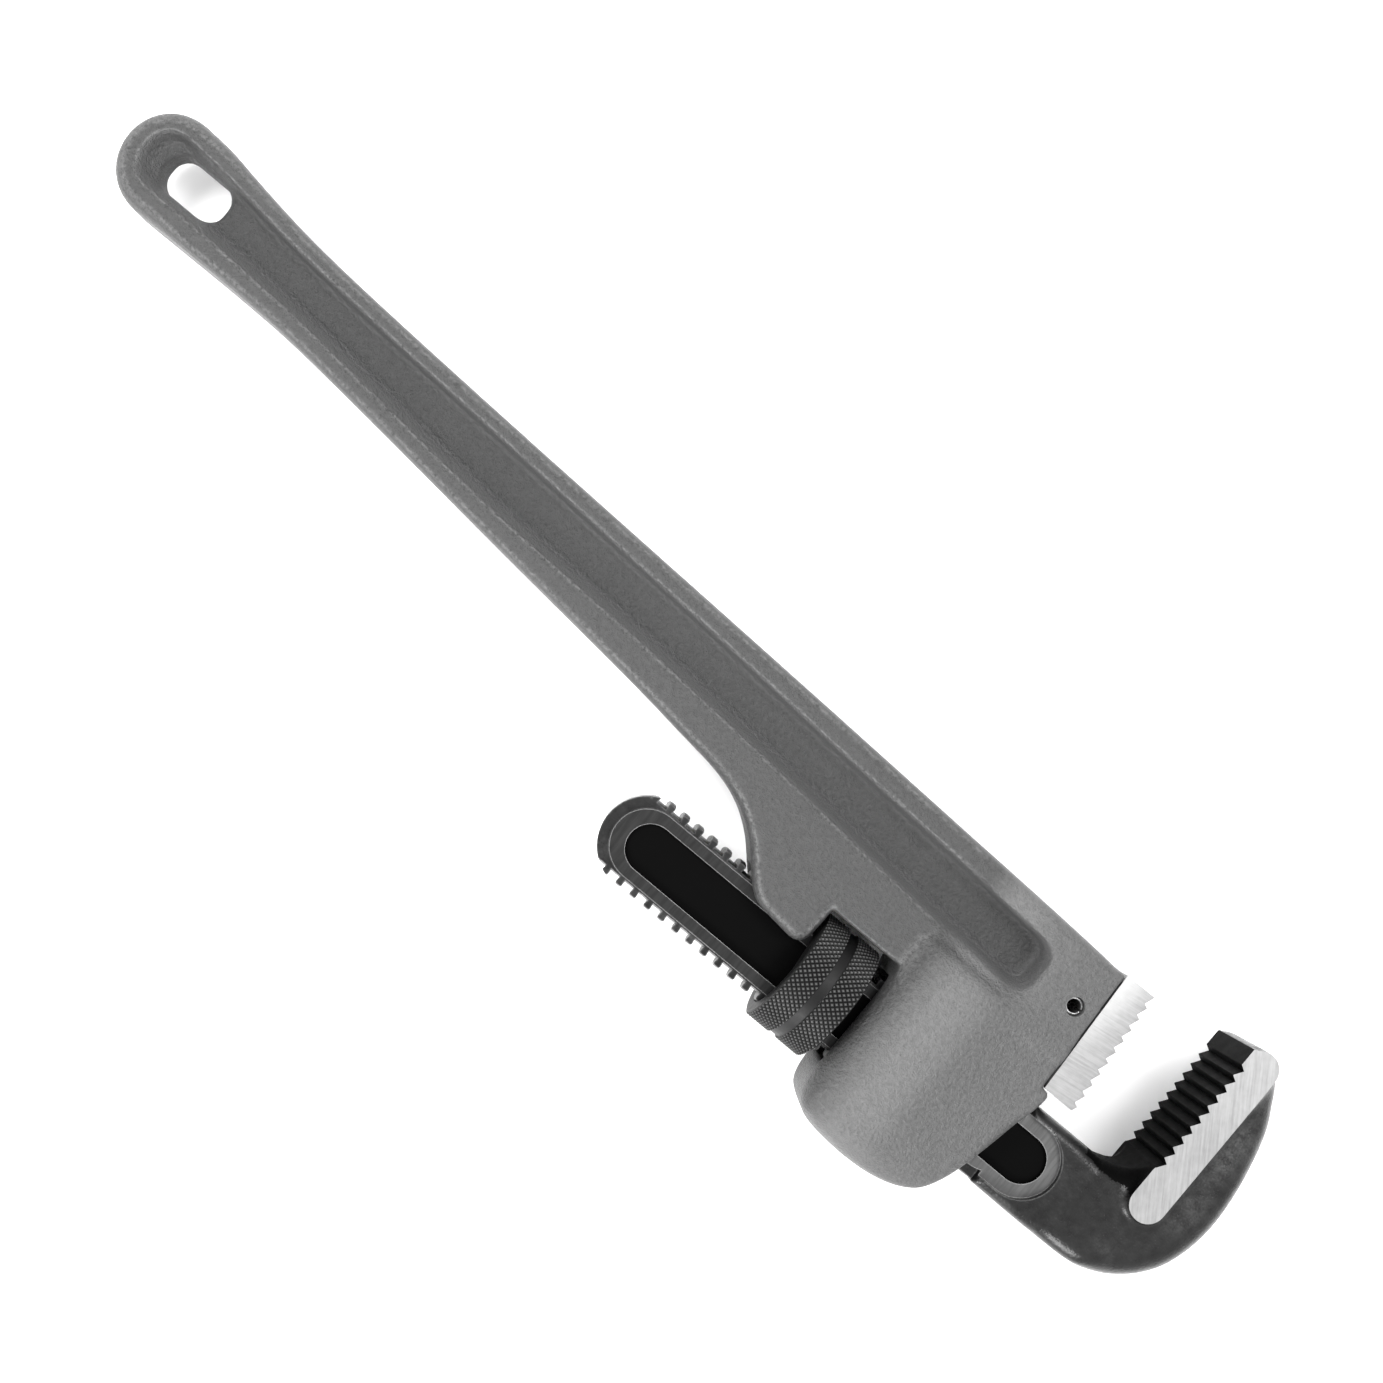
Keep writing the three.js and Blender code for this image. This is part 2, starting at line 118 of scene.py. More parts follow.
# distance fields: negative inside
def distanceTo(outline, u, v):
    u, v = np.broadcast_arrays(u, v)
    nearest = np.full(u.shape, np.inf)
    inside = np.zeros(u.shape, bool)
    ends = np.array(outline, float)
    for (ax, ay), (bx, by) in zip(ends, np.roll(ends, -1, axis=0)):
        runX, runY = bx - ax, by - ay
        length = runX * runX + runY * runY
        if length < 1e-12:
            continue
        share = np.clip(((u - ax) * runX + (v - ay) * runY) / length, 0, 1)
        nearest = np.minimum(nearest, (u - ax - share * runX) ** 2 + (v - ay - share * runY) ** 2)
        if ay != by:
            inside ^= ((v < ay) != (v < by)) & (u < ax + (v - ay) * runX / runY)
    return np.where(inside, -1, 1) * np.sqrt(nearest)


def common(a, b, radius):    # where both are, with the edge between them rounded
    return (np.minimum(np.maximum(a + radius, b + radius), 0)
            + np.hypot(np.maximum(a + radius, 0), np.maximum(b + radius, 0)) - radius)


def blendMax(a, b, width):
    near = np.maximum(width - np.abs(a - b), 0) / width
    return np.maximum(a, b) + near * near * width / 4


def blendMin(a, b, width):
    return -blendMax(-a, -b, width)


def step(low, high, value):  # rises smoothly from 0 to 1
    t = np.clip((value - low) / (high - low), 0, 1)
    return t * t * (3 - 2 * t)


def boxField(x, y, z, low, high, radius):
    across = [np.abs(c - (a + b) / 2) - (b - a) / 2 for c, a, b in zip((x, y, z), low, high)]
    return common(common(across[0], across[1], radius), across[2], radius)


# meshes
def makeMesh(name, points, faces):
    mesh = bpy.data.meshes.new(name)
    mesh.from_pydata([tuple(p) for p in points], [], [tuple(f) for f in faces])
    mesh.update()
    piece = bpy.data.objects.new(name, mesh)
    bpy.context.scene.collection.objects.link(piece)
    return piece


def skinOf(name, xs, ys, zs, field):
    # the surface of a field given for z >= 0 and the same below
    both = np.concatenate([field[:, :, :0:-1], field], axis=2)
    grid = openvdb.FloatGrid(float(field.max()))
    grid.copyFromArray(np.ascontiguousarray(both, dtype=np.float32))
    points, quads = grid.convertToQuads(isovalue=0.0)
    allZs = np.concatenate([-zs[:0:-1], zs])
    places = [np.interp(points[:, i], np.arange(len(marks)), marks)
              for i, marks in enumerate((xs, ys, allZs))]
    piece = makeMesh(name, np.stack(places, axis=1), quads)
    outwards(piece)
    return piece


def outwards(piece, dropSlivers=False):
    # joins points that coincide and turns every face outwards
    work = bmesh.new()
    work.from_mesh(piece.data)
    bmesh.ops.remove_doubles(work, verts=work.verts, dist=1e-5)
    if dropSlivers:
        bmesh.ops.dissolve_degenerate(work, dist=1e-6, edges=work.edges)
    bmesh.ops.recalc_face_normals(work, faces=work.faces)
    work.to_mesh(piece.data)
    work.free()


def prism(name, outline, low, high):
    # an outline in X and Y, between two heights
    count = len(outline)
    points = [(x, y, z) for z in (low, high) for x, y in outline]
    sides = [(i, (i + 1) % count, count + (i + 1) % count, count + i) for i in range(count)]
    piece = makeMesh(name, points, [tuple(range(count))[::-1], tuple(range(count, 2 * count)), *sides])
    outwards(piece)
    return piece


def block(name, low, high):
    outline = [(low[0], low[1]), (high[0], low[1]), (high[0], high[1]), (low[0], high[1])]
    return prism(name, outline, low[2], high[2])


def turned(name, profile, segments):
    # a closed profile of (along, radius) points turned round X; radius 0 is the axis
    angles = np.linspace(0, 2 * math.pi, segments, endpoint=False)
    points = [(along, radius * math.cos(t), radius * math.sin(t))
              for t in angles for along, radius in profile]
    count = len(profile)
    faces = []
    for i in range(segments):
        here, there = i * count, (i + 1) % segments * count
        for j in range(count):
            k = (j + 1) % count
            faces.append((here + j, here + k, there + k, there + j))
    piece = makeMesh(name, points, faces)
    outwards(piece, dropSlivers=True)
    return piece


def settle(piece):           # turns what the modifiers show into the mesh itself
    scene = bpy.context.evaluated_depsgraph_get()
    mesh = bpy.data.meshes.new_from_object(piece.evaluated_get(scene))
    piece.modifiers.clear()
    old = piece.data
    piece.data = mesh
    bpy.data.meshes.remove(old)
    return piece


def combine(piece, tool, operation="DIFFERENCE"):
    cut = piece.modifiers.new("cut", "BOOLEAN")
    cut.operation = operation
    cut.solver = "MANIFOLD"
    cut.object = tool
    settle(piece)
    bpy.data.objects.remove(tool)
    return piece


def bevelled(piece, width, segments=2, angle=30):
    soften = piece.modifiers.new("soften", "BEVEL")
    soften.width = width
    soften.segments = segments
    soften.limit_method = "ANGLE"
    soften.angle_limit = math.radians(angle)
    return settle(piece)


def finished(piece, name, body, replaced, sharpAngle=35):
    piece.name = name
    piece.data.name = name
    piece.data.transform(toRow)
    piece.data.shade_smooth()
    piece.data.set_sharp_from_angle(angle=math.radians(sharpAngle))
    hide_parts(replaced)
    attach(piece, body)
    print(name, "has", len(piece.data.polygons), "faces")
    return piece


# node trees
def addNode(tree, kind, inputs=None, **settings):
    node = tree.nodes.new(kind)
    for key, value in settings.items():
        setattr(node, key, value)
    for key, value in (inputs or {}).items():
        if isinstance(value, bpy.types.NodeSocket):
            tree.links.new(value, node.inputs[key])
        else:
            node.inputs[key].default_value = value
    return node


def calc(tree, operation, a, b=0.0, c=0.0):
    return addNode(tree, "ShaderNodeMath", {0: a, 1: b, 2: c}, operation=operation).outputs[0]


def newGroup(name, kind, inputs, outputs):
    tree = bpy.data.node_groups.new(name, kind)
    for label, socket, value in inputs:
        entry = tree.interface.new_socket(label, in_out="INPUT", socket_type="NodeSocket" + socket)
        if value is not None:
            entry.default_value = value
    for label, socket in outputs:
        tree.interface.new_socket(label, in_out="OUTPUT", socket_type="NodeSocket" + socket)
    return tree, tree.nodes.new("NodeGroupInput").outputs, tree.nodes.new("NodeGroupOutput").inputs


def grown(name, tree, values, base=None):
    # runs a geometry tree and gives its result as a plain mesh object
    carrier = base or makeMesh(name, [(0, 0, 0)], [])
    modifier = carrier.modifiers.new("grow", "NODES")
    modifier.node_group = tree
    for entry in tree.interface.items_tree:
        if entry.in_out == "INPUT" and entry.name in values:
            modifier[entry.identifier] = values[entry.name]
    return settle(carrier)


def helixTree():
    # a section swept along a helix round Z: a screw thread's ridge, or a coil of round wire
    tree, given, out = newGroup("helixSweep", "GeometryNodeTree", [
        ("Turns", "Float", 1.0), ("Pitch", "Float", 1.0), ("Radius", "Float", 1.0),
        ("Steps", "Int", 32), ("Root Width", "Float", 1.0), ("Crest Width", "Float", 0.5),
        ("Height", "Float", 1.0), ("Rounding", "Float", 0.3), ("Wire Radius", "Float", 0.0),
        ("Material", "Material", None)],
        [("Geometry", "Geometry")])
    length = calc(tree, "MULTIPLY", given["Turns"], given["Pitch"])
    path = addNode(tree, "GeometryNodeCurveSpiral", {
        "Resolution": given["Steps"], "Rotations": given["Turns"], "Start Radius": given["Radius"],
        "End Radius": given["Radius"], "Height": length})
    level = addNode(tree, "GeometryNodeSetCurveNormal", {"Curve": path.outputs[0]}, mode="Z_UP")
    outer = calc(tree, "MULTIPLY", given["Height"], 0.5)
    inner = calc(tree, "MULTIPLY", outer, -1.0)
    corners = [(inner, given["Root Width"], -0.5), (inner, given["Root Width"], 0.5),
               (outer, given["Crest Width"], 0.5), (outer, given["Crest Width"], -0.5)]
    sharp = addNode(tree, "GeometryNodeCurvePrimitiveQuadrilateral", {
        f"Point {i + 1}": addNode(tree, "ShaderNodeCombineXYZ", {
            "X": radial, "Y": calc(tree, "MULTIPLY", width, share)}).outputs[0]
        for i, (radial, width, share) in enumerate(corners)}, mode="POINTS")
    ridge = addNode(tree, "GeometryNodeFilletCurve", {
        "Curve": sharp.outputs[0], "Radius": given["Rounding"], "Count": 2, "Limit Radius": True},
                    mode="POLY")
    wire = addNode(tree, "GeometryNodeCurvePrimitiveCircle", {
        "Resolution": 16, "Radius": given["Wire Radius"]})
    isWire = addNode(tree, "FunctionNodeCompare", {0: given["Wire Radius"], 1: 0.0},
                     data_type="FLOAT", operation="GREATER_THAN")
    section = addNode(tree, "GeometryNodeSwitch", {
        "Switch": isWire.outputs[0], "False": ridge.outputs[0], "True": wire.outputs[0]},
        input_type="GEOMETRY")
    swept = addNode(tree, "GeometryNodeCurveToMesh", {
        "Curve": level.outputs[0], "Profile Curve": section.outputs[0], "Fill Caps": True})
    whole = addNode(tree, "GeometryNodeRealizeInstances", {"Geometry": swept.outputs[0]})
    painted = addNode(tree, "GeometryNodeSetMaterial", {
        "Geometry": whole.outputs[0], "Material": given["Material"]})
    tree.links.new(painted.outputs[0], out["Geometry"])
    return tree


def toothTree():
    # a row of V grooves along Y, cut from the side that faces -X, each with one steep flank
    tree, given, out = newGroup("toothRow", "GeometryNodeTree", [
        ("Count", "Int", 10), ("Pitch", "Float", 4.0), ("Depth", "Float", 1.0), ("Root Place", "Float", 1.0),
        ("Crest Width", "Float", 0.2), ("Half Width", "Float", 15.0), ("Clear", "Float", 3.0),
        ("Material", "Material", None)], [("Geometry", "Geometry")])
    along = calc(tree, "MULTIPLY", given["Half Width"], -1.0)
    path = addNode(tree, "GeometryNodeCurvePrimitiveLine", {
        "Start": addNode(tree, "ShaderNodeCombineXYZ", {"Z": along}).outputs[0],
        "End": addNode(tree, "ShaderNodeCombineXYZ", {"Z": given["Half Width"]}).outputs[0]})
    low = calc(tree, "MULTIPLY", given["Crest Width"], 0.5)
    high = calc(tree, "SUBTRACT", given["Pitch"], low)
    outside = calc(tree, "MULTIPLY", given["Clear"], -1.0)
    corners = [(0.0, low), (given["Depth"], given["Root Place"]), (0.0, high),
               (outside, calc(tree, "MULTIPLY", given["Pitch"], 0.5))]
    groove = addNode(tree, "GeometryNodeCurvePrimitiveQuadrilateral", {
        f"Point {i + 1}": addNode(tree, "ShaderNodeCombineXYZ", {"X": x, "Y": y}).outputs[0]
        for i, (x, y) in enumerate(corners)}, mode="POINTS")
    cutter = addNode(tree, "GeometryNodeCurveToMesh", {
        "Curve": path.outputs[0], "Profile Curve": groove.outputs[0], "Fill Caps": True})
    row = addNode(tree, "GeometryNodeMeshLine", {
        "Count": given["Count"],
        "Offset": addNode(tree, "ShaderNodeCombineXYZ", {"Y": given["Pitch"]}).outputs[0]})
    copies = addNode(tree, "GeometryNodeInstanceOnPoints", {
        "Points": row.outputs[0], "Instance": cutter.outputs[0]})
    whole = addNode(tree, "GeometryNodeRealizeInstances", {"Geometry": copies.outputs[0]})
    painted = addNode(tree, "GeometryNodeSetMaterial", {
        "Geometry": whole.outputs[0], "Material": given["Material"]})
    tree.links.new(painted.outputs[0], out["Geometry"])
    return tree


# shared surface effects, each a group that is placed in several materials
def grainGroup():
    # lumpy skin of a sand casting or a forging: a height for the bump and an even tone
    tree, given, out = newGroup("lumpySkin", "ShaderNodeTree", [
        ("Vector", "Vector", None), ("Lump Scale", "Float", 700.0), ("Grit Scale", "Float", 2600.0),
        ("Grit Share", "Float", 0.35)], [("Height", "Float"), ("Tone", "Float")])
    lumps = addNode(tree, "ShaderNodeTexNoise", {
        "Vector": given["Vector"], "Scale": given["Lump Scale"], "Detail": 3.0, "Roughness": 0.55})
    grit = addNode(tree, "ShaderNodeTexNoise", {
        "Vector": given["Vector"], "Scale": given["Grit Scale"], "Detail": 2.0, "Roughness": 0.6})
    patches = addNode(tree, "ShaderNodeTexNoise", {
        "Vector": given["Vector"], "Scale": 28.0, "Detail": 3.0, "Roughness": 0.6})
    mixed = addNode(tree, "ShaderNodeMix", {
        0: given["Grit Share"], 2: lumps.outputs[0], 3: grit.outputs[0]}, data_type="FLOAT")
    tree.links.new(mixed.outputs[0], out["Height"])
    tone = addNode(tree, "ShaderNodeMix", {0: 0.4, 2: patches.outputs[0], 3: lumps.outputs[0]},
                   data_type="FLOAT")
    tree.links.new(tone.outputs[0], out["Tone"])
    return tree


def brushGroup():
    # fine scratches that run along the vector's first axis
    tree, given, out = newGroup("brushedLines", "ShaderNodeTree", [
        ("Vector", "Vector", None), ("Line Scale", "Float", 1500.0), ("Stretch", "Float", 0.03)],
        [("Lines", "Float")])
    squeeze = addNode(tree, "ShaderNodeCombineXYZ", {"X": given["Stretch"], "Y": 1.0, "Z": 1.0})
    long = addNode(tree, "ShaderNodeVectorMath", {0: given["Vector"], 1: squeeze.outputs[0]},
                   operation="MULTIPLY")
    fine = addNode(tree, "ShaderNodeTexNoise", {
        "Vector": long.outputs[0], "Scale": given["Line Scale"], "Detail": 4.0, "Roughness": 0.7})
    tree.links.new(fine.outputs[0], out["Lines"])
    return tree


def edgeGroup():
    # 1 on edges that stick out, 0 on flats and in hollows
    tree, given, out = newGroup("edgeWear", "ShaderNodeTree", [
        ("Radius", "Float", 0.0006), ("Vector", "Vector", None), ("Breakup", "Float", 0.5)],
        [("Mask", "Float")])
    shape = addNode(tree, "ShaderNodeNewGeometry")
    rounded = addNode(tree, "ShaderNodeBevel", {"Radius": given["Radius"]}, samples=4)
    facing = addNode(tree, "ShaderNodeVectorMath", {
        0: shape.outputs["Normal"], 1: rounded.outputs[0]}, operation="DOT_PRODUCT")
    bent = addNode(tree, "ShaderNodeMapRange", {0: facing.outputs["Value"], 1: 0.995, 2: 0.9, 3: 0.0, 4: 1.0})
    chips = addNode(tree, "ShaderNodeTexNoise", {
        "Vector": given["Vector"], "Scale": 900.0, "Detail": 3.0, "Roughness": 0.6})
    kept = addNode(tree, "ShaderNodeMapRange", {0: chips.outputs[0], 1: 0.35, 2: 0.6, 3: 0.0, 4: 1.0})
    broken = addNode(tree, "ShaderNodeMix", {0: given["Breakup"], 2: 1.0, 3: kept.outputs[0]},
                     data_type="FLOAT")
    tree.links.new(calc(tree, "MULTIPLY", bent.outputs[0], broken.outputs[0]), out["Mask"])
    return tree


def groupIn(tree, group, inputs):
    return addNode(tree, "ShaderNodeGroup", inputs, node_tree=group).outputs


def grey(value):
    return (value, value, value, 1.0)


def newMaterial(name, turn=0.0, **fixed):
    # a material with its shader, and the place from the nut's centre in metres, turned about Z
    material = bpy.data.materials.new(name)
    material.use_nodes = True
    tree = material.node_tree
    shader = tree.nodes["Principled BSDF"]
    for key, value in fixed.items():
        shader.inputs[key.replace("_", " ")].default_value = value
    place = addNode(tree, "ShaderNodeTexCoord").outputs["Object"]
    centred = addNode(tree, "ShaderNodeMapping", {"Vector": place, "Location": -zero})
    aligned = addNode(tree, "ShaderNodeMapping", {
        "Vector": centred.outputs[0], "Rotation": (0.0, 0.0, math.radians(turn))})
    return material, tree, shader, aligned.outputs[0]


def mixedTone(tree, mask, under, over):
    return addNode(tree, "ShaderNodeMix", {0: mask, 6: under, 7: over}, data_type="RGBA").outputs[2]


def toneBetween(tree, mask, dark, light):
    return mixedTone(tree, mask, grey(dark), grey(light))


def spread(tree, value, fromLow, fromHigh, toLow, toHigh):
    return addNode(tree, "ShaderNodeMapRange", {
        0: value, 1: fromLow, 2: fromHigh, 3: toLow, 4: toHigh}).outputs[0]


def bumped(tree, shader, height, strength, distance):
    bump = addNode(tree, "ShaderNodeBump", {
        "Strength": strength, "Distance": distance, "Height": height})
    tree.links.new(bump.outputs[0], shader.inputs["Normal"])


lumpySkin = grainGroup()
brushedLines = brushGroup()
edgeWear = edgeGroup()


def castAluminium():
    material, tree, shader, place = newMaterial("castAluminium", Metallic=0.3, Specular_IOR_Level=0.4)
    skin = groupIn(tree, lumpySkin, {"Vector": place, "Lump Scale": 850.0, "Grit Scale": 2400.0})
    grain = spread(tree, skin["Height"], 0.38, 0.62, 0.0, 1.0)
    # painted highlight: the housing is painted brighter than the handle along its crown, where the lamp's
    # reflection falls, less so on its forward slope and towards its lower edge
    parts = addNode(tree, "ShaderNodeSeparateXYZ", {0: place}).outputs
    crownHighlight = calc(tree, "MULTIPLY", spread(tree, parts["X"], 0.017, 0.026, 0.0, 1.0),
                 spread(tree, parts["X"], 0.032, 0.042, 1.0, 0.6))
    outside = calc(tree, "MAXIMUM", spread(tree, parts["Z"], 0.008, 0.013, 0.0, 1.0),
                   spread(tree, parts["Y"], 0.024, 0.031, 1.0, 0.0))
    rim = spread(tree, parts["Y"], -0.028, -0.016, 0.6, 1.0)
    housing = calc(tree, "MULTIPLY", calc(tree, "MULTIPLY", crownHighlight, outside), rim)
    plain = toneBetween(tree, grain, 0.031, 0.043)
    bright = toneBetween(tree, grain, 0.074, 0.100)
    # the crown's painted highlight is mixed in here
    base = mixedTone(tree, housing, plain, bright)
    # painted light in the channel: its steep sides are painted paler, its floor gets painted shade, and its
    # crest edges get pale lines that are partly wear and partly painted highlight
    facing = addNode(tree, "ShaderNodeSeparateXYZ", {
        0: addNode(tree, "ShaderNodeTexCoord").outputs["Normal"]}).outputs
    level = calc(tree, "ABSOLUTE", facing["Z"])
    height = calc(tree, "ABSOLUTE", parts["Z"])
    steep = calc(tree, "MULTIPLY", spread(tree, level, 0.5, 0.93, 1.0, 0.0),
                 spread(tree, parts["Y"], 0.033, 0.036, 0.0, 1.0))
    # painted light: the steep walls are painted paler, those that face +Y most
    wallLight = calc(tree, "MULTIPLY", steep, spread(tree, facing["Y"], -0.2, 0.4, 0.35, 0.55))
    withWallLight = mixedTone(tree, wallLight, base, grey(0.13))
    # painted shade: the channel's floor is darkened, most towards the handle's end
    floor = calc(tree, "MULTIPLY", spread(tree, level, 0.8, 0.95, 0.0, 1.0),
                 spread(tree, height, 0.006, 0.008, 1.0, 0.0))
    floor = calc(tree, "MULTIPLY", floor, spread(tree, parts["X"], -0.16, -0.04, 1.0, 0.1))
    withFloorShade = mixedTone(tree, calc(tree, "MULTIPLY", floor, 0.35), withWallLight, grey(0.008))
    # pale lines on the rounded crest edges: partly wear, partly painted highlight
    bent = calc(tree, "MULTIPLY", spread(tree, level, 0.92, 0.99, 1.0, 0.0),
                spread(tree, level, 0.72, 0.88, 0.0, 1.0))
    onHandle = calc(tree, "MULTIPLY", spread(tree, height, 0.0075, 0.0088, 0.0, 1.0),
                    spread(tree, parts["X"], 0.010, 0.016, 1.0, 0.15))
    lighter = calc(tree, "MULTIPLY", calc(tree, "MULTIPLY", bent, onHandle), grain)
    tone = mixedTone(tree, calc(tree, "MULTIPLY", lighter, 0.7), withFloorShade, grey(0.13))
    tree.links.new(tone, shader.inputs["Base Color"])
    tree.links.new(spread(tree, skin["Height"], 0.3, 0.7, 0.42, 0.58), shader.inputs["Roughness"])
    bumped(tree, shader, skin["Height"], 1.0, 0.0009)
    return material


def groundSteel(name, turn):
    material, tree, shader, place = newMaterial(name, turn=turn, Metallic=0.5)
    lines = groupIn(tree, brushedLines, {"Vector": place, "Line Scale": 1500.0, "Stretch": 0.05})["Lines"]
    skin = groupIn(tree, lumpySkin, {"Vector": place, "Lump Scale": 500.0, "Grit Scale": 1800.0})
    mixed = calc(tree, "ADD", calc(tree, "MULTIPLY", lines, 0.6), calc(tree, "MULTIPLY", skin["Tone"], 0.4))
    tree.links.new(toneBetween(tree, spread(tree, mixed, 0.35, 0.65, 0.0, 1.0), 0.165, 0.27),
                   shader.inputs["Base Color"])
    tree.links.new(spread(tree, lines, 0.3, 0.7, 0.38, 0.55), shader.inputs["Roughness"])
    bumped(tree, shader, lines, 0.25, 0.00006)
    return material


def forgedSteel():
    material, tree, shader, place = newMaterial("forgedSteel", Metallic=0.35, Specular_IOR_Level=0.35)
    skin = groupIn(tree, lumpySkin, {
        "Vector": place, "Lump Scale": 330.0, "Grit Scale": 1500.0, "Grit Share": 0.45})
    wear = groupIn(tree, edgeWear, {"Vector": place, "Radius": 0.0007, "Breakup": 0.7})
    lighter = addNode(tree, "ShaderNodeTexNoise", {"Vector": place, "Scale": 55.0, "Detail": 2.0})
    base = toneBetween(tree, spread(tree, skin["Tone"], 0.35, 0.65, 0.0, 1.0), 0.003, 0.012)
    pale = toneBetween(tree, spread(tree, skin["Height"], 0.4, 0.6, 0.0, 1.0), 0.012, 0.036)
    mixed = mixedTone(tree, spread(tree, lighter.outputs[0], 0.46, 0.66, 0.0, 1.0), base, pale)
    worn = mixedTone(tree, calc(tree, "MULTIPLY", wear["Mask"], 0.5), mixed, grey(0.18))
    # the throat keeps its black paint: it faces the jaw mouth
    facing = addNode(tree, "ShaderNodeVectorMath", {
        0: addNode(tree, "ShaderNodeTexCoord").outputs["Normal"], 1: (-0.6, 0.8, 0.0)},
                     operation="DOT_PRODUCT")
    along = addNode(tree, "ShaderNodeSeparateXYZ", {0: place}).outputs["X"]
    inside = calc(tree, "MULTIPLY", spread(tree, along, 0.084, 0.094, 0.0, 1.0),
                  spread(tree, along, 0.1065, 0.1075, 1.0, 0.0))
    throat = calc(tree, "MULTIPLY", inside, spread(tree, facing.outputs["Value"], 0.1, 0.45, 0.0, 1.0))
    tone = mixedTone(tree, throat, worn, grey(0.001))
    tree.links.new(tone, shader.inputs["Base Color"])
    tree.links.new(spread(tree, skin["Height"], 0.3, 0.7, 0.24, 0.42), shader.inputs["Roughness"])
    bumped(tree, shader, skin["Height"], 0.7, 0.0003)
    return material


def milledSteel():
    # the shank's flats and thread: dark steel that shows its cutter marks
    material, tree, shader, place = newMaterial("milledSteel", turn=90.0, Metallic=0.6)
    lines = groupIn(tree, brushedLines, {"Vector": place, "Line Scale": 1100.0, "Stretch": 0.08})["Lines"]
    wear = groupIn(tree, edgeWear, {"Vector": place, "Radius": 0.0004, "Breakup": 0.4})
    along = addNode(tree, "ShaderNodeSeparateXYZ", {0: place}).outputs["Y"]
    dull = toneBetween(tree, spread(tree, lines, 0.35, 0.65, 0.0, 1.0), 0.007, 0.014)
    lighter = toneBetween(tree, spread(tree, lines, 0.35, 0.65, 0.0, 1.0), 0.055, 0.08)
    # painted shade: the flats are darker towards the rear, where the shank lies down in the casting's slot,
    # and lighter towards the hook
    base = mixedTone(tree, spread(tree, along, 0.02, 0.07, 0.0, 1.0), dull, lighter)
    tone = mixedTone(tree, calc(tree, "MULTIPLY", wear["Mask"], 0.7), base, grey(0.4))
    tree.links.new(tone, shader.inputs["Base Color"])
    tree.links.new(spread(tree, lines, 0.3, 0.7, 0.35, 0.5), shader.inputs["Roughness"])
    bumped(tree, shader, lines, 0.2, 0.00006)
    return material


def blackPaint():
    material, tree, shader, place = newMaterial("blackPaint", Specular_IOR_Level=0.03)
    skin = groupIn(tree, lumpySkin, {"Vector": place, "Lump Scale": 260.0, "Grit Scale": 1400.0})
    tree.links.new(toneBetween(tree, skin["Tone"], 0.0003, 0.0008), shader.inputs["Base Color"])
    tree.links.new(spread(tree, skin["Height"], 0.3, 0.7, 0.5, 0.65), shader.inputs["Roughness"])
    bumped(tree, shader, skin["Height"], 0.2, 0.0001)
    return material


def blackedSteel():
    # the nut: black oxide, rubbed bright on the knurl's points
    material, tree, shader, place = newMaterial("blackedSteel", Metallic=0.25, Specular_IOR_Level=0.2)
    skin = groupIn(tree, lumpySkin, {"Vector": place, "Lump Scale": 420.0, "Grit Scale": 2200.0})
    parts = addNode(tree, "ShaderNodeSeparateXYZ", {0: place}).outputs
    radius = calc(tree, "SQRT", calc(tree, "ADD", calc(tree, "MULTIPLY", parts["Y"], parts["Y"]),
                                     calc(tree, "MULTIPLY", parts["Z"], parts["Z"])))
    tips = spread(tree, radius, 0.0186, 0.01895, 0.0, 1.0)
    dull = toneBetween(tree, skin["Tone"], 0.002, 0.006)
    tone = mixedTone(tree, tips, dull, grey(0.085))
    tree.links.new(tone, shader.inputs["Base Color"])
    tree.links.new(spread(tree, skin["Height"], 0.3, 0.7, 0.4, 0.56), shader.inputs["Roughness"])
    bumped(tree, shader, skin["Height"], 0.25, 0.00008)
    return material


def springSteel():
    material, tree, shader, place = newMaterial("springSteel", Metallic=0.9)
    lines = groupIn(tree, brushedLines, {"Vector": place, "Line Scale": 2500.0, "Stretch": 0.2})["Lines"]
    tree.links.new(toneBetween(tree, lines, 0.12, 0.28), shader.inputs["Base Color"])
    tree.links.new(spread(tree, lines, 0.3, 0.7, 0.25, 0.4), shader.inputs["Roughness"])
    return material


finishes = {
    "cast": castAluminium(),
    "ground": groundSteel("groundSteel", -8.0),
    "land": groundSteel("groundLand", -124.0),
    "forged": forgedSteel(),
    "milled": milledSteel(),
    "black": blackPaint(),
    "blacked": blackedSteel(),
    "spring": springSteel(),
}
print("materials ready")


def paint(piece, first, *rules):
    # the first finish everywhere, then each rule's finish on the faces that it picks
    piece.data.materials.clear()
    piece.data.materials.append(finishes[first])
    for finish, _ in rules:
        piece.data.materials.append(finishes[finish])
    for face in piece.data.polygons:
        face.material_index = 0
        for index, (_, picks) in enumerate(rules):
            if picks(face.center, face.normal):
                face.material_index = index + 1


